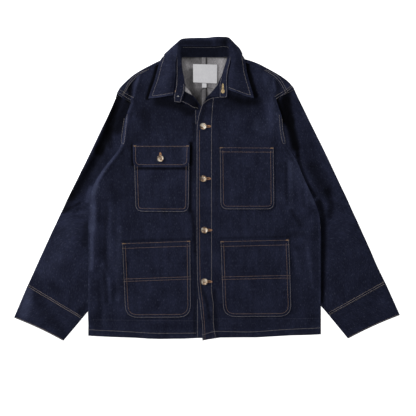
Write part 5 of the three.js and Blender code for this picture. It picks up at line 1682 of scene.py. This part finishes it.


def woven(material, dark, middle, slub, specks, sheen_tint, bump_depth, grain=1.0):
    """Twill with uneven warp threads, pale slubs and cloudy dye."""
    made = Finish(material, Roughness=0.9, Specular_IOR_Level=0.05, Sheen_Weight=0.04, Sheen_Roughness=0.55,
                  Sheen_Tint=(*sheen_tint, 1))
    slub = (*slub, 1)
    diagonal = made.stretched((1, 1, 1), TWILL_TURN)
    twill = made.node("ShaderNodeTexWave", {
        "Scale": TWILL_SCALE, "Distortion": 0.6, "Vector": diagonal}).outputs["Fac"]
    warp = made.noise(made.stretched((620, 150, 1)), 1.0, 3.0, 0.6)
    slubs = made.noise(made.stretched((330, 150, 1)), 1.0, 2.0, 0.55)
    streaks = made.noise(made.stretched((90, 14, 1)), 1.0, 2.0, 0.5)
    cloud = made.noise(made.cloth, 22.0, 3.0, 0.55)
    base = made.blend(made.ramp(cloud, [(0.3, grey(0)), (0.7, grey(1))]), (*dark, 1), (*middle, 1))
    for source, low, high, darker, paler in ((warp, 0.35, 0.65, 0.28, 0.3), (twill, 0.0, 1.0, 0.2, 0.15),
                                             (streaks, 0.35, 0.7, 0.12, 0.18)):
        stops = [(low, grey(1 - darker * grain)), (high, grey(1 + paler * grain))]
        base = made.times(base, made.ramp(source, stops))
    base = made.blend(made.ramp(slubs, [(specks[0], grey(0)), (specks[1], grey(1))]), base, slub)
    # the pieces' painted shade and highlight darken or lighten the colour; where the painted highlight lifts
    # it, the cloth turns toward the slubs' paler colour
    base = made.times(base, made.dye("Color"))
    painted_highlight_pale = made.math("MULTIPLY", made.math("SUBTRACT", made.dye("Fac"), 1.0), PAINTED_HIGHLIGHT_PALENESS)
    made.colour(made.blend(made.node("ShaderNodeClamp", {"Value": painted_highlight_pale}).outputs[0], base, slub))
    relief = made.math("ADD", made.math("MULTIPLY", twill, 0.5), warp)
    bump = made.node("ShaderNodeBump", {"Strength": 0.6, "Distance": bump_depth, "Height": relief})
    made.tree.links.new(bump.outputs[0], made.shader.inputs["Normal"])


def thread_finish(material, colour):
    made = Finish(material, Roughness=0.7, Specular_IOR_Level=0.25)
    shade = made.ramp(made.noise(made.place, 260.0, 2.0, 0.6), [(0.3, grey(0.65)), (0.7, grey(1.25))])
    made.colour(made.times((*colour, 1), shade))


def horn_finish(material):
    made = Finish(material, Roughness=0.28, Coat_Weight=0.3)
    marbling = [(0.38, (0.1, 0.045, 0.02, 1)), (0.46, (0.3, 0.17, 0.085, 1)),
                (0.53, (0.72, 0.55, 0.38, 1)), (0.62, (0.9, 0.84, 0.72, 1))]
    # the marbling is multiplied by the button's painted shade
    made.colour(made.times(made.ramp(made.noise(made.place, 130.0, 4.0, 0.6), marbling), made.dye("Color")))


woven(denim, (0.0108, 0.0125, 0.0268), (0.0187, 0.0217, 0.0452), (0.047, 0.054, 0.087), (0.58, 0.78),
      (0.35, 0.4, 0.62), 0.0005)
woven(denim_inside, (0.19, 0.182, 0.19), (0.3, 0.29, 0.302), (0.42, 0.41, 0.42), (0.58, 0.78),
      (0.8, 0.8, 0.85), 0.0004)
woven(label_cloth, (0.66, 0.655, 0.68), (0.7, 0.695, 0.715), (0.74, 0.73, 0.75), (0.6, 0.8),
      (0.9, 0.9, 0.9), 0.0002, 0.15)
for colour, dyed in THREADS.items():
    thread_finish(thread[colour], dyed)
horn_finish(horn)
Finish(floor_paper, Base_Color=grey(0.86), Roughness=0.9, Emission_Color=grey(1), Emission_Strength=1.0)


# Floor, lights and camera

FLOOR_HALF = 12.0
FLOOR_HEIGHT = -0.0006
CAMERA_DISTANCE = 3.0
PICTURE_WIDTH = 1.061       # metres across the picture at the jacket
SENSOR_WIDTH = 36
LIGHTS = (("key", (-1.7, 0.95, 0.95), 0.8, 38), ("overhead", (0.1, 0.2, 2.6), 1.4, 14),
          ("fill", (1.6, 0.1, 1.3), 1.4, 5))      # name, place, size, power


def area_light(name, place, size, power):
    data = bpy.data.lights.new(name, "AREA")
    data.size = size
    data.energy = power
    lamp = bpy.data.objects.new(name, data)
    lamp.location = place
    lamp.rotation_euler = (-Vector(place)).to_track_quat("-Z", "Y").to_euler()
    bpy.context.scene.collection.objects.link(lamp)


def studio():
    scene = bpy.context.scene
    mesh = bpy.data.meshes.new("floor")
    mesh.from_pydata([(x * FLOOR_HALF, y * FLOOR_HALF, FLOOR_HEIGHT)
                      for x, y in ((-1, -1), (1, -1), (1, 1), (-1, 1))], [], [(0, 1, 2, 3)])
    mesh.materials.append(floor_paper)
    floor = bpy.data.objects.new("floor", mesh)
    scene.collection.objects.link(floor)
    for light in LIGHTS:
        area_light(*light)
    world = bpy.data.worlds.new("world")
    world.use_nodes = True
    background = world.node_tree.nodes["Background"]
    background.inputs[0].default_value = (1, 1, 1, 1)
    background.inputs[1].default_value = 0.12
    scene.world = world
    scene.view_settings.view_transform = "Standard"
    camera_data = bpy.data.cameras.new("camera")
    camera_data.sensor_width = SENSOR_WIDTH
    camera_data.lens = SENSOR_WIDTH * CAMERA_DISTANCE / PICTURE_WIDTH
    camera = bpy.data.objects.new("camera", camera_data)
    camera.location = (0.0022, -0.0486, CAMERA_DISTANCE)
    scene.collection.objects.link(camera)
    scene.camera = camera


studio()


for name, (made, _, _) in pieces.items():
    if not name.startswith("cloth_"):
        continue
    side = "right" if name.endswith("right") else "left"

for made, nodes, slot_name in pieces.values():
    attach(made, "root")
    if nodes:
        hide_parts(*nodes)
